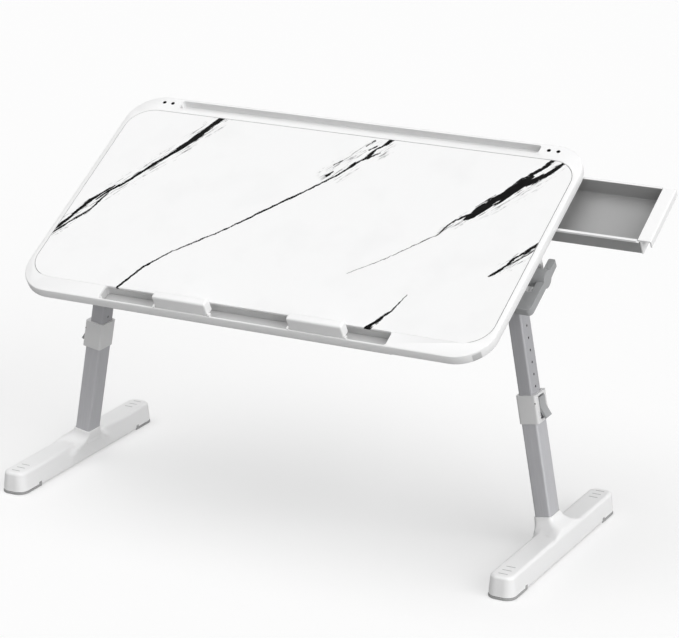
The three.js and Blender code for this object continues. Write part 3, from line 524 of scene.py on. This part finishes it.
# %% The veins of this board
dark_veins = [
    [(-198, 175, 4.4), (-222, 123, 4.8), (-237, 96, 3.4), (-259, 63, 2.6), (-279, 27, 2.3),
     (-301, -2, 2.2), (-311, -20, 1.4)],
    [(-296, 12, 1.2), (-302, 3, 1.8), (-319, -24, 3.0), (-341, -80, 2.8), (-347, -92, 2.6)],
    [(-299, -2, 1.0), (-310, -42, 2.0), (-330, -70, 1.5), (-340, -87, 1.6),
     (-346, -96, 1.6)],
    [(68, 170, 4.2), (63, 160, 3.6), (57, 152, 1.5), (51, 146, 1.7), (46, 129, 3.2),
     (37, 119, 1.5), (31, 110, 2.8), (25, 100, 1.4), (20, 92, 1.9), (14, 83, 1.4),
     (-10, 55, 1.6), (-60, 0, 1.9), (-95, -40, 1.3), (-150, -92, 1.2), (-178, -128, 1.5),
     (-195, -167, 2.0), (-200, -178, 2.0)],
    [(60, 140, 0.8), (53, 133, 1.5), (46, 125, 2.2)],
    [(43, 162, 1.2), (38, 154, 0.8), (34, 148, 1.2)],
    [(50, 152, 0.9), (41, 141, 1.0)],
    [(13, 117, 1.0), (3, 105, 1.0)],
    [(9, 94, 1.2), (2, 82, 2.4)],
    [(311, 176, 2.6), (305, 166, 2.8), (295, 148, 3.0), (283, 132, 3.6)],
    [(326, 172, 2.6), (320, 162, 2.8), (309, 143, 3.6), (295, 127, 4.4), (284, 114, 4.6)],
    [(289, 134, 3.0), (282, 123, 7.5), (274, 108, 8.5), (265, 94, 8.2), (254, 79, 7.8),
     (243, 64, 7.2), (236, 50, 6.2), (231, 42, 4.0), (227, 37, 1.0)],
    [(234, 52, 1.4), (228, 46, 2.4), (217, 36, 1.8), (208, 21, 1.4), (204, 7, 0.8),
     (185, -13, 0.6), (150, -50, 0.6), (110, -85, 0.4)],
    [(349, 23, 2.6), (342, 12, 2.8), (332, -2, 2.2), (321, -17, 2.4), (316, -31, 1.8),
     (308, -44, 2.2), (300, -54, 1.2)],
    [(347, 9, 0.8), (330, -15, 1.0), (315, -33, 1.2)],
    [(207, -105, 0.5), (202, -122, 0.9), (198, -136, 1.3), (192, -146, 1.9),
     (189, -153, 2.6), (186, -157, 3.0), (179, -168, 4.0), (173, -178, 4.2)],
]
soft_veins = [
    [(50, 160, 3.0), (34, 143, 4.5), (20, 122, 6.0), (9, 98, 8.0), (-2, 78, 8.0)],
    [(74, 156, 4.0), (59, 130, 5.0)],
    [(40, 108, 2.0), (20, 77, 3.0)],
    [(-196, 175, 10.0), (-228, 110, 10.0), (-262, 55, 8.0), (-301, -4, 8.0)],
    [(234, 50, 5.0), (214, 24, 5.0), (203, 5, 1.5)],
    [(328, 176, 6.0), (306, 140, 8.0), (290, 112, 8.0), (262, 76, 9.0), (240, 46, 6.0)],
    [(-300, 0, 6.0), (-325, -50, 7.0), (-347, -95, 7.0)],
    [(349, 12, 5.0), (329, -16, 6.0), (312, -38, 4.0), (303, -54, 1.0)],
]
print(len(dark_veins), "dark veins,", len(soft_veins), "soft ones")

# %% Painted shade in the seam round the board
def painted_seam_shade(finish, radius=37.2, width=0.7):
    """Painted shade: share = 1 within that width of the board's rounded outline, where the
    seam's shadow is painted grey, but for its front edge, which lies open above the trough."""
    low, high = (corner[:2] for corner in flat_extent("marble_board"))
    middle, half = (low + high) / 2, (high - low) / 2
    over_u = abs(finish.u - middle[0]) - (half[0] - radius)
    over_v = abs(finish.v - middle[1]) - (half[1] - radius)
    corner = (over_u.most(0) ** 2 + over_v.most(0) ** 2) ** 0.5
    from_edge = radius - corner - over_u.most(over_v).least(0)
    behind = ((finish.v - low[1] - 2) / 2).share()
    return ((width - from_edge) * 3 + 0.5).share() * behind


print("board from", *(corner.round(1) for corner in flat_extent("marble_board")))


# %% The printed board
def inked(marble, veins, **how):
    """The most ink that any of these veins gives."""
    total = None
    for points in veins:
        ink = marble.vein(points, **how)
        total = ink if total is None else total.most(ink)
    return total


def marble_print():
    """Colour = white, then grey where soft veins meet streak noise, then black veins, then the
    seam's painted shade.
    """
    marble = Marble()
    soft = inked(marble, soft_veins, fray=5.0, soft=9.0)
    dark = inked(marble, dark_veins)
    streak = ((marble.streaks - 0.5) * 8).share()
    cloud = (marble.noise(marble.place, 0.012, 3.0) - 0.5).share()
    ground = marble.mixed(cloud, grey(0.97), grey(0.92))
    veiled = marble.mixed((soft * streak * 0.8).share(), ground, grey(0.42))
    ink = marble.mixed(((marble.fray + 0.1) * 3).share(), grey(0.01), grey(0.08))
    printed = marble.mixed(dark, veiled, ink)
    # Painted shade: the seam's shadow as a grey line round the board
    colour = marble.mixed(painted_seam_shade(marble), printed, grey(0.64))
    film = marble.noise(marble.place, 0.9, 2.0)
    rough = 0.30 + (film - 0.5) * 0.1
    return marble.surface(
        base_color=colour, roughness=rough.share(),
        normal=marble.bump(film, 0.006 * MM), specular_ior_level=0.03)


board_print = marble_print()
print("marble print made of", len(board_print.node_tree.nodes), "nodes")

# %% [markdown]
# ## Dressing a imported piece
#
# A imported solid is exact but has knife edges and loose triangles. Its copy is merged, its
# flat faces are joined again, and a Bevel modifier rounds each sharp edge, which is what
# catches the light on a real moulding. Modelling each piece afresh would give the same form
# with more ways to go wrong, so only the feet and the stoppers are built anew, because their
# real forms swell in ways that the solids leave out.

# %% Each slot's finish, and how round its edges are in millimetres
finish_of = {
    "rim": white_plastic, "board": board_print, "core": core_fibre,
    "panel": panel_plastic, "cover": cover_plastic, "bracket": bracket_plastic,
    "yoke": yoke_plastic, "lever": lever_plastic, "steel": steel,
    "collar": collar_plastic, "tray": tray_plastic, "pad": pad_rubber,
}
edge_of = {
    "rim": 0.6, "board": 0.5, "core": 0.4, "panel": 0.6, "cover": 0.7, "bracket": 1.0,
    "yoke": 0.9, "lever": 1.3, "steel": 0.25, "inner_tube": 0.25, "outer_tube": 0.25,
    "collar": 1.1, "tray": 0.5, "pad": 0.8,
}


def finish_for(node):
    """The finish of the node's slot; each side's tubes have their own."""
    slot = slot_of[node]
    side = "left" if node.endswith("left") else "right"
    if slot == "outer_tube":
        return outer_tube_metal[side]
    if slot == "inner_tube":
        return inner_tube_metal[side]
    return finish_of[slot]


print(len(finish_of), "finishes and the tubes'")

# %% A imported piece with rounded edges
SHARP = math.radians(40)
MERGE, FLAT = 0.01 * MM, math.radians(0.4)


def linked(name, mesh, node, material):
    """A new object for a mesh: it stands for that node, on the node's body."""
    piece = bpy.data.objects.new(name, mesh)
    bpy.context.scene.collection.objects.link(piece)
    mesh.materials.clear()
    mesh.materials.append(material)
    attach(piece, body_of[node])
    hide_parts(node)
    return piece


def rounded(piece, width):
    """A Bevel modifier of width millimetres on the sharp edges."""
    bevel = piece.modifiers.new("rounded edges", "BEVEL")
    bevel.width = width * MM
    bevel.segments = 2
    bevel.limit_method = "ANGLE"
    bevel.angle_limit = SHARP
    bevel.harden_normals = True
    bevel.use_clamp_overlap = True


def dressed(node):
    """The node's copy, merged at a hundredth of a millimetre, with flat faces joined."""
    mesh = nodes[node].data.copy()
    mesh.name = f"{node}_mesh"
    shape = bmesh.new()
    shape.from_mesh(mesh)
    bmesh.ops.remove_doubles(shape, verts=shape.verts, dist=MERGE)
    bmesh.ops.dissolve_limit(shape, angle_limit=FLAT, verts=shape.verts, edges=shape.edges)
    shape.to_mesh(mesh)
    shape.free()
    mesh.shade_smooth()
    mesh.set_sharp_from_angle(angle=SHARP)
    rounded(linked(f"{node}_piece", mesh, node, finish_for(node)), edge_of[slot_of[node]])


new_forms = {"foot_left", "foot_right", "stopper_bar_left", "stopper_bar_right"}
for node in sorted(nodes):
    if node not in new_forms:
        dressed(node)
print("dressed", len(nodes) - len(new_forms), "pieces")

# %% [markdown]
# ## Surfaces from arrays
#
# The new forms are surfaces over two parameters: one runs round a closed outline, the other
# from ring to ring. numpy works out all points at once, and the faces are the quads between
# neighbouring rings. All outlines here have the same number of points on each side and
# corner, so any ring can be joined to any other.

# %% Outlines and rings
SIDE_POINTS, END_POINTS, CORNER_POINTS = 90, 14, 12


def outline(left, right, front, back, radius):
    """A rounded rectangle, counter-clockwise: four straight runs and four quarter circles."""
    turn = np.linspace(0, np.pi / 2, CORNER_POINTS, endpoint=False)[:, None]

    def run(first, last, count):
        share = np.linspace(0, 1, count, endpoint=False)[:, None]
        return np.array(first) * (1 - share) + np.array(last) * share

    def corner(x, y, start):
        return np.array([x, y]) + radius * np.hstack([np.cos(turn + start), np.sin(turn + start)])

    low_x, high_x = left + radius, right - radius
    low_y, high_y = front + radius, back - radius
    return np.vstack([
        run((right, low_y), (right, high_y), SIDE_POINTS),
        corner(high_x, high_y, 0),
        run((high_x, back), (low_x, back), END_POINTS),
        corner(low_x, high_y, np.pi / 2),
        run((left, high_y), (left, low_y), SIDE_POINTS),
        corner(low_x, low_y, np.pi),
        run((low_x, front), (high_x, front), END_POINTS),
        corner(high_x, low_y, 1.5 * np.pi),
    ])


def lifted(flat, height):
    """An outline's points at one height, or at a height of their own each."""
    return np.column_stack([flat, np.broadcast_to(height, len(flat))])


def quads(rings, columns):
    """Corner numbers of the quads between rings; the last column meets the first again."""
    row = np.arange(rings - 1)[:, None] * columns
    here = np.arange(columns)[None, :]
    after = (here + 1) % columns
    return np.stack([row + here, row + after, row + after + columns, row + here + columns],
                    -1).reshape(-1, 4)


print("points on an outline:", len(outline(-1, 1, -1, 1, 0.2)))

# %% [markdown]
# ## The feet
#
# A foot is a long bar with drafted sides and a soft top edge, and a neck that swells out of
# it and leans inwards with the leg. Extruding and uniting boxes gives a crease where the
# real moulding flows. So bar and neck are each described by a distance formula, the two are
# joined by a smooth minimum, and rings of points are moved onto the joint surface with
# Newton's method. Below, the sole is hollowed into two rows of cells to save plastic.

# %% A foot's measures, in millimetres from the point where the leg meets the floor
FOOT_LEFT, FOOT_RIGHT = -11.8, 27.7                 # the right foot's inner and outer wall
FOOT_ENDS = {"left": (-174.0, 174.0), "right": (-190.0, 157.0)}
FOOT_TOP, FOOT_EDGE, FOOT_DRAFT, FOOT_CORNER = 31.0, 5.0, 2.6, 15.0
FOOT_SOLE, PAD_ROOF, PAD_LENGTH = 1.6, 3.5, 48.0    # heights, and the pads' length
NECK_TOP, NECK_HALF_X, NECK_HALF_Y, NECK_CORNER = 48.0, 13.2, 18.0, 5.0
NECK_FLARE_Y, NECK_FLARE_X, NECK_FLARE_FROM, NECK_BLEND = 34.0, 30.0, 22.0, 6.0
FLARE_POWER_Y, FLARE_POWER_X, FLARE_CORNER = 2.6, 1.8, 5.0
NECK_BEHIND_WALL, NECK_WALL_SOFT = 4.0, 3.0         # where the neck ends at the outer wall
NECK_INSIDE, NECK_LEAN, NECK_LEAN_HEIGHT, NECK_LEAN_SOFT = 1.5, 16.0, 45.0, 2.5
SOCKET_HALF_X, SOCKET_HALF_Y, SOCKET_DEPTH = 11.7, 16.2, 20.0
for side, (front, back) in FOOT_ENDS.items():
    print(side, "foot", back - front, "mm long")


# %% The distance to a foot's bar
def rounded_distance(x, y, half_x, half_y, radius):
    """Distance to a rounded rectangle: of the corner's part outside, less the radius."""
    over_x = np.abs(x) - half_x + radius
    over_y = np.abs(y) - half_y + radius
    outside = np.hypot(np.maximum(over_x, 0), np.maximum(over_y, 0))
    return outside + np.minimum(np.maximum(over_x, over_y), 0) - radius


def bar_distance(p, ends):
    """The outline's distance, drawn in with height, joined to the flat top by a round edge."""
    rise = (p[:, 2] - FOOT_SOLE) / (FOOT_TOP - FOOT_EDGE - FOOT_SOLE)
    inset = FOOT_DRAFT * np.clip(rise, 0, 1)
    front, back = ends
    middle_x, middle_y = (FOOT_LEFT + FOOT_RIGHT) / 2, (front + back) / 2
    side = rounded_distance(
        p[:, 0] - middle_x, p[:, 1] - middle_y, (FOOT_RIGHT - FOOT_LEFT) / 2 - inset,
        (back - front) / 2 - inset, FOOT_CORNER - inset)
    out, up = side + FOOT_EDGE, p[:, 2] - FOOT_TOP + FOOT_EDGE
    outside = np.hypot(np.maximum(out, 0), np.maximum(up, 0))
    return outside + np.minimum(np.maximum(out, up), 0) - FOOT_EDGE


origin = np.zeros((1, 3))
print("the origin lies", -bar_distance(origin, FOOT_ENDS["right"]).round(1), "mm deep in the bar")

# %% The neck, and the distance to the whole foot
LEAN = np.array([[math.cos(splay), 0, -math.sin(splay)], [0, 1, 0],
                 [math.sin(splay), 0, math.cos(splay)]])


def softly_least(first, second, blend):
    """The lesser of two distances, less a dip where they are nearly equal."""
    share = np.clip(0.5 + (second - first) / (2 * blend), 0, 1)
    return second * (1 - share) + first * share - blend * share * (1 - share)


def neck_distance(p):
    """A rounded rectangle in the leg's frame that grows forwards, backwards and outwards on
    its way down, cut off softly at the bar's outer wall and at a leaning inner wall."""
    q = p @ LEAN
    drop = np.clip((NECK_TOP - q[:, 2]) / (NECK_TOP - NECK_FLARE_FROM), 0, 1)
    out = NECK_FLARE_X * drop ** FLARE_POWER_X / 2
    neck = rounded_distance(
        q[:, 0] - out, q[:, 1], NECK_HALF_X + out,
        NECK_HALF_Y + NECK_FLARE_Y * drop ** FLARE_POWER_Y, NECK_CORNER + FLARE_CORNER * drop)
    outer_wall = p[:, 0] - (FOOT_RIGHT - FOOT_DRAFT - NECK_BEHIND_WALL)
    leaned = NECK_LEAN * (np.maximum(p[:, 2], 0) / NECK_LEAN_HEIGHT) ** 2
    inner_wall = FOOT_LEFT + NECK_INSIDE - leaned - p[:, 0]
    within = softly_least(-neck, -outer_wall, NECK_WALL_SOFT)
    return -softly_least(within, -inner_wall, NECK_LEAN_SOFT)


def foot_distance(p, ends):
    """Bar and neck joined softly; the join grows with height and is sharp at the floor."""
    blend = NECK_BLEND * np.clip((p[:, 2] - 2) / 14, 0.15, 1)
    return softly_least(bar_distance(p, ends), neck_distance(p), blend)


print("leaning axis", LEAN[:, 2].round(3))


# %% Points moved onto the foot
def onto_foot(p, ends, steps=14):
    """Newton's method: step back along the slope by the distance over the slope's length."""
    small = 0.01
    for _ in range(steps):
        here = foot_distance(p, ends)
        slope = np.column_stack([
            foot_distance(p + small * axis, ends) - here for axis in np.eye(3)]) / small
        steep = np.maximum((slope ** 2).sum(1), 0.05)
        p = p - np.clip(here / steep, -3, 3)[:, None] * slope
    return p


above = onto_foot(np.array([[5.0, 100.0, 40.0]]), FOOT_ENDS["right"])
print("a point above the bar comes down to", above[0].round(2))


# %% The foot's rings, from the sole up to the neck and down into the socket
def bar_outline(ends, inset):
    """The bar's outline from above, drawn in by that inset."""
    return outline(FOOT_LEFT + inset, FOOT_RIGHT - inset, ends[0] + inset,
                   ends[1] - inset, FOOT_CORNER - inset)


def neck_outline(half_x, half_y, radius, along):
    """An outline square to the leg, at that distance along it."""
    flat = outline(-half_x, half_x, -half_y, half_y, radius)
    return lifted(flat, along) @ LEAN.T


def foot_rings(ends):
    """Rings of equal length: sole edge, drafted side, round edge, top and neck, lip, socket."""
    y = bar_outline(ends, 0)[:, 1]
    over_pad = (y < ends[0] + PAD_LENGTH) | (y > ends[1] - PAD_LENGTH)
    sole = np.where(over_pad, PAD_ROOF, FOOT_SOLE)
    rings = [lifted(bar_outline(ends, inset), sole + rise)
             for inset, rise in ((1.4, 0), (0.9, 0.15), (0.6, 0.7))]
    shoulder = FOOT_TOP - FOOT_EDGE
    for share in np.linspace(0.12, 1, 5):
        height = FOOT_SOLE + share * (shoulder - FOOT_SOLE)
        inset = FOOT_DRAFT * share + 0.45 * (1 - share)
        rings.append(lifted(bar_outline(ends, inset), height))
    for turn in np.linspace(0, np.pi / 2, 8)[1:]:
        inset = FOOT_DRAFT + FOOT_EDGE * (1 - math.cos(turn))
        rings.append(lifted(bar_outline(ends, inset), shoulder + FOOT_EDGE * math.sin(turn)))
    base = rings[-1]
    rings[4:] = [onto_foot(ring, ends) for ring in rings[4:]]
    waist = neck_outline(NECK_HALF_X, NECK_HALF_Y, NECK_CORNER, NECK_TOP - 1.2)
    for share in np.linspace(0, 1, 34)[1:-1]:
        ring = base * (1 - share) ** 2 + waist * (1 - (1 - share) ** 2)
        ring[:, 2] = base[:, 2] + (waist[:, 2] - base[:, 2]) * share ** 3
        rings.append(onto_foot(ring, ends))
    rings.append(waist)
    for inset, along in ((0.25, -0.5), (0.7, -0.12), (1.2, 0.0)):
        rings.append(neck_outline(NECK_HALF_X - inset, NECK_HALF_Y - inset,
                                  NECK_CORNER - inset, NECK_TOP + along))
    for inset, along in ((-0.25, 0.0), (0.0, -0.3), (0.0, -SOCKET_DEPTH)):
        rings.append(neck_outline(SOCKET_HALF_X - inset, SOCKET_HALF_Y - inset, 3.0,
                                  NECK_TOP + along))
    return np.array(rings)


rings_of = {side: foot_rings(ends) for side, ends in FOOT_ENDS.items()}
print("a foot has", len(rings_of["right"]), "rings")


# %% The rings evened out
def evened(rings, ends, rounds=16, reach=48.0):
    """Within reach of the neck each point moves halfway to the middle of its four neighbours
    and back onto the surface, so that no quads fold over where the surfaces meet."""
    first, last = 5, len(rings) - 7
    for _ in range(rounds):
        around = (np.roll(rings, 1, 1) + np.roll(rings, -1, 1)) / 4
        around[1:-1] += (rings[:-2] + rings[2:]) / 4
        near = np.exp(-(rings[..., 1] / reach) ** 4)[..., None] / 2
        moved = rings + near * (around - rings)
        part = moved[first:last]
        rings[first:last] = onto_foot(part.reshape(-1, 3), ends, 3).reshape(part.shape)
    return rings


rings_of = {side: evened(rings_of[side], ends) for side, ends in FOOT_ENDS.items()}
for side, rings in rings_of.items():
    print(side, "foot's rings", rings.shape, "low", rings.min((0, 1)).round(1),
          "high", rings.max((0, 1)).round(1))

# %% The hollow cells of the sole
CELL_PITCH, CELL_RIB, CELL_DEPTH, CELL_FROM = 15.2, 1.8, 13.0, 46.0


def sole_cells(ends):
    """Corners of each cell's mouth, counter-clockwise: two rows, ahead of and behind the leg."""
    row = (FOOT_RIGHT - FOOT_LEFT - 2 * FOOT_EDGE - CELL_RIB) / 2
    cells = []
    for way, end in ((-1, -ends[0]), (1, ends[1])):
        count = int((end - PAD_LENGTH - CELL_RIB - CELL_FROM) // CELL_PITCH)
        for near in CELL_FROM + CELL_PITCH * np.arange(count):
            low, high = sorted((way * near, way * (near + CELL_PITCH - CELL_RIB)))
            for left in (FOOT_LEFT + FOOT_EDGE, FOOT_LEFT + FOOT_EDGE + row + CELL_RIB):
                cells.append([(left, low), (left + row, low), (left + row, high), (left, high)])
    return np.array(cells)


for side, ends in FOOT_ENDS.items():
    print(side, "foot:", len(sole_cells(ends)), "cells")


# %% The foot's mesh
def foot_mesh(side):
    """Quads between the rings, a lid in the socket, cells with walls and roofs, and a sole
    filled round their mouths. The left foot is the mirror image, so its faces are turned."""
    rings = rings_of[side]
    count, columns = rings.shape[:2]
    faces = quads(count, columns).tolist()
    faces.append(list(range((count - 1) * columns, count * columns)))
    cells = sole_cells(FOOT_ENDS[side])
    corners = cells.reshape(-1, 2)
    mouths = lifted(corners, FOOT_SOLE)
    roofs = lifted(corners, FOOT_SOLE + CELL_DEPTH)
    first = count * columns
    mouth = first + np.arange(len(corners)).reshape(-1, 4)
    after = np.roll(mouth, -1, axis=1)
    walls = np.stack([mouth, after, after + len(corners), mouth + len(corners)], -1)
    faces += walls.reshape(-1, 4).tolist() + (mouth + len(corners)).tolist()
    points = np.vstack([rings.reshape(-1, 3), mouths, roofs])
    points[:, 0] *= leg_side[side]
    place = np.eye(4)
    place[:3, 3] = foot_origin[side]
    mesh = bpy.data.meshes.new(f"foot_{side}_mesh")
    mesh.from_pydata(placed(points, place).tolist(), [], faces)
    shape = bmesh.new()
    shape.from_mesh(mesh)
    open_edges = [edge for edge in shape.edges if edge.is_boundary]
    bmesh.ops.triangle_fill(shape, use_beauty=True, use_dissolve=False, edges=open_edges)
    bmesh.ops.remove_doubles(shape, verts=shape.verts, dist=0.001 * MM)
    bmesh.ops.recalc_face_normals(shape, faces=shape.faces)
    still_open = sum(edge.is_boundary for edge in shape.edges)
    shape.to_mesh(mesh)
    shape.free()
    mesh.shade_smooth()
    mesh.set_sharp_from_angle(angle=math.radians(38))
    print(f"foot {side}:", len(mesh.polygons), "faces,", still_open, "open edges")
    return mesh


foot_meshes = {side: foot_mesh(side) for side in leg_side}

# %% [markdown]
# ## Grip lines on the feet
#
# Near both ends of each foot three short lines are pressed into the top. They are hardly
# over half a millimetre deep, so they go into the material: a mask, the least of two soft
# ranges, which dips the bump and darkens the colour as painted shade in the grooves.

# %% The foot's plastic with its grip lines
GRIP_LENGTH, GRIP_WIDTH, GRIP_PITCH, GRIP_FROM_END, GRIP_DEPTH = 12.8, 1.3, 12.2, 13.6, 0.6


def foot_plastic(side):
    """Line mask = least of (half length - across) and (half width - along), made soft."""
    finish = Finish(f"foot plastic {side}")
    place = finish.coordinates(foot_origin[side])
    x, y, z = (part * 1000 for part in finish.parts(place))
    middle = leg_side[side] * (FOOT_LEFT + FOOT_RIGHT) / 2
    lines = None
    for end, way in zip(FOOT_ENDS[side], (1, -1)):
        for number in range(3):
            at = end + way * (GRIP_FROM_END + number * GRIP_PITCH)
            across = GRIP_LENGTH / 2 - abs(x - middle)
            line = across.least(GRIP_WIDTH / 2 - abs(y - at))
            lines = line if lines is None else lines.most(line)
    mask = (lines * 2.5 + 0.5).share() * (z - (FOOT_TOP - 3)).share()
    slow = finish.noise(place, WAVES, 2.0)
    cloud = finish.noise(place, CLOUDS, 4.0, 0.6)
    fine = finish.noise(place, 1600.0, 2.0)
    ground = finish.mixed(slow, grey(0.945), grey(0.955))
    # Painted shade: the grip lines' mask darkens the colour in the grooves
    colour = finish.mixed((mask * 0.9).share(), ground, grey(0.6))
    rough = 0.36 + (cloud - 0.5) * 0.18 + mask * 0.2
    height = fine * 0.012 - mask * GRIP_DEPTH
    return finish.surface(
        base_color=colour, roughness=rough.share(),
        normal=finish.bump(height, MM), specular_ior_level=MOULDED_SPECULAR)


for side, mesh in foot_meshes.items():
    linked(f"foot_{side}_piece", mesh, f"foot_{side}", foot_plastic(side))
    print("foot", side, "finished")

# %% [markdown]
# ## The stoppers
#
# Each stopper is a thick strip that stands on a pin at its lower front corner. Its section
# has a large round at the upper back and smaller ones in front, and it closes softly at both
# ends. It is the section carried along u, drawn in near the ends by a quarter circle.

# %% A stopper's section
STOPPER_LENGTH, STOPPER_THICKNESS, STOPPER_HEIGHT = 80.0, 14.0, 19.3
STOPPER_PIN_V, STOPPER_PIN_W, STOPPER_KNUCKLE = -191.7, 0.1, 1.8
STOPPER_BACK_ROUND, STOPPER_FRONT_ROUND, STOPPER_END_ROUND = 5.5, 3.0, 2.2


def arc(v, w, radius, start, end, count=12):
    """Points on a circle about (v, w), from one angle to another in degrees."""
    turn = np.radians(np.linspace(start, end, count))
    return np.column_stack([v + radius * np.cos(turn), w + radius * np.sin(turn)])


def stopper_section(inset):
    """The section drawn in by inset: each arc keeps its centre and loses that radius."""
    front = STOPPER_PIN_V - STOPPER_KNUCKLE
    back = front + STOPPER_THICKNESS
    low = STOPPER_PIN_W - STOPPER_KNUCKLE
    small, back_round, front_round = 1.0, STOPPER_BACK_ROUND, STOPPER_FRONT_ROUND
    knuckle = max(STOPPER_KNUCKLE - inset, 0.05)
    return np.vstack([
        arc(STOPPER_PIN_V, STOPPER_PIN_W, knuckle, 180, 270),
        arc(back - small - inset, low + small + inset, small, 270, 360),
        arc(back - back_round, STOPPER_HEIGHT - back_round, back_round - inset, 0, 90),
        arc(front + front_round, STOPPER_HEIGHT - front_round, front_round - inset, 90, 180),
    ])


print("section of", len(stopper_section(0)), "points")


# %% The stoppers
def stopper_mesh(side):
    """Sections at u from end to end; near an end the inset follows a quarter circle."""
    low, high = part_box(f"stopper_bar_{side}")
    middle = ((low.x + high.x) / 2 - top_middle.x) / MM
    turn = np.linspace(0, np.pi / 2, 9)
    inset = STOPPER_END_ROUND * (1 - np.sin(turn))
    reach = STOPPER_LENGTH / 2 - STOPPER_END_ROUND * (1 - np.cos(turn))
    insets = np.concatenate([inset, inset[::-1]])
    places = np.concatenate([-reach, reach[::-1]])
    layers = []
    for at, drawn in zip(places, insets):
        section = stopper_section(drawn)
        layers.append(np.column_stack([np.full(len(section), middle + at), section]))
    layers = np.array(layers)
    count, columns = layers.shape[:2]
    faces = quads(count, columns).tolist()
    faces.append(list(range(columns)))
    faces.append(list(range((count - 1) * columns, count * columns)))
    mesh = bpy.data.meshes.new(f"stopper_{side}_mesh")
    mesh.from_pydata(placed(layers.reshape(-1, 3), top_place).tolist(), [], faces)
    shape = bmesh.new()
    shape.from_mesh(mesh)
    bmesh.ops.remove_doubles(shape, verts=shape.verts, dist=0.001 * MM)
    bmesh.ops.recalc_face_normals(shape, faces=shape.faces)
    shape.to_mesh(mesh)
    shape.free()
    mesh.shade_smooth()
    mesh.set_sharp_from_angle(angle=math.radians(50))
    print(f"stopper {side}: {len(mesh.polygons)} faces, middle at u = {middle:.1f} mm")
    return mesh


for side in leg_side:
    node = f"stopper_bar_{side}"
    linked(f"{node}_piece", stopper_mesh(side), node, white_plastic)

# %% [markdown]
# ## Floor and lamps
#
# The stand is shown on white with soft shadows. The floor is a plain pale sheet. For the
# camera alone half of it glows, so that it reads as white where no shadow falls and the
# shadow stays. The light is plain: one broad lamp from above and the left, and one from
# the right. Area lamps would do as well, but a sun lights the whole stand evenly.

# %% The floor
def floor_finish():
    """White to the camera, half of it glow; to all other rays a plain light grey."""
    finish = Finish("floor")
    seen = finish.node("ShaderNodeLightPath", {}, {}, "Is Camera Ray")
    colour = finish.mixed(seen, grey(0.70), grey(1.0))
    flat = finish.node("ShaderNodeBsdfDiffuse", {}, {"Color": colour})
    glow = finish.node("ShaderNodeEmission", {}, {"Color": grey(1.0), "Strength": 1.0})
    finish.ended_in(finish.node("ShaderNodeMixShader", {}, {
        0: seen * 0.45, 1: flat, 2: glow}))
    return finish.material


FLOOR_HALF, FLOOR_DROP = 14.0, 0.4 * MM
floor_mesh = bpy.data.meshes.new("floor_mesh")
corners = np.array([(-1, -1, 0), (1, -1, 0), (1, 1, 0), (-1, 1, 0)]) * FLOOR_HALF
floor_mesh.from_pydata((corners - (0, 0, FLOOR_DROP)).tolist(), [], [(0, 1, 2, 3)])
floor_mesh.materials.append(floor_finish())
floor = bpy.data.objects.new("floor", floor_mesh)
bpy.context.scene.collection.objects.link(floor)
print("floor", 2 * FLOOR_HALF, "m wide")


# %% The lamps
def lamp(name, towards, strength, spread):
    """A sun whose light comes from the given direction; spread is its angle in degrees."""
    light = bpy.data.lights.new(name, "SUN")
    light.energy = strength
    light.angle = math.radians(spread)
    holder = bpy.data.objects.new(name, light)
    holder.rotation_mode = "QUATERNION"
    holder.rotation_quaternion = Vector(towards).to_track_quat("Z", "Y")
    bpy.context.scene.collection.objects.link(holder)
    print(name, "of strength", strength)


lamp("lamp_above", (-0.25, -0.15, 0.95), 1.15, 60)
lamp("lamp_right", (0.88, -0.30, 0.35), 2.2, 60)

# %% [markdown]
# ## The sky
#
# An even grey sky fills the shadows. Straight into the camera, in mirror-like reflections
# and through clear pieces the sky is white instead, so that the background is white and
# bright metal shows it. Light Path tells which kind of ray asks, and a Mix Shader picks.

# %% The sky
world = bpy.data.worlds.new("studio")
bpy.context.scene.world = world
world.use_nodes = True
sky = world.node_tree
sky.nodes.clear()
path = sky.nodes.new("ShaderNodeLightPath")
soft_sky, white_sky = (sky.nodes.new("ShaderNodeBackground") for _ in range(2))
soft_sky.inputs["Color"].default_value = grey(0.63)
white_sky.inputs["Color"].default_value = grey(1.0)
either = [sky.nodes.new("ShaderNodeMath") for _ in range(2)]
blend = sky.nodes.new("ShaderNodeMixShader")
end = sky.nodes.new("ShaderNodeOutputWorld")
for node, first, second in (
        (either[0], path.outputs["Is Camera Ray"], path.outputs["Is Glossy Ray"]),
        (either[1], either[0].outputs[0], path.outputs["Is Transmission Ray"])):
    node.operation = "MAXIMUM"
    sky.links.new(first, node.inputs[0])
    sky.links.new(second, node.inputs[1])
sky.links.new(either[1].outputs[0], blend.inputs[0])
sky.links.new(soft_sky.outputs[0], blend.inputs[1])
sky.links.new(white_sky.outputs[0], blend.inputs[2])
sky.links.new(blend.outputs[0], end.inputs["Surface"])
bpy.context.scene.view_settings.view_transform = "Standard"
print("sky of", len(sky.nodes), "nodes")

# %% [markdown]
# ## The camera
#
# The camera stands where the picture was taken from, far back, with a long lens. Its place
# and its three directions, to the right, down and ahead, were solved from the straight
# edges of the top, and are given from the middle of the top.

# %% The camera
camera_data = bpy.data.cameras.new("camera")
camera_data.lens = 142.749
camera_data.sensor_width = 36.0
camera_data.shift_x, camera_data.shift_y = -0.014759, 0.027424
camera_data.clip_end = 100.0
camera = bpy.data.objects.new("camera", camera_data)
bpy.context.scene.collection.objects.link(camera)
right = Vector((0.88626178, 0.46318373, -0.00094250))
down = Vector((0.14561056, -0.28054366, -0.94873222))
ahead = Vector((-0.43970174, 0.84068787, -0.31607957))
turned = Matrix((right, -down, -ahead)).transposed()
stand_point = top_middle + Vector((1.66420, -3.03719, 0.98514))
camera.matrix_world = Matrix.Translation(stand_point) @ turned.to_4x4()
bpy.context.scene.camera = camera
print("camera", round((stand_point - top_middle).length, 3), "m from the top")
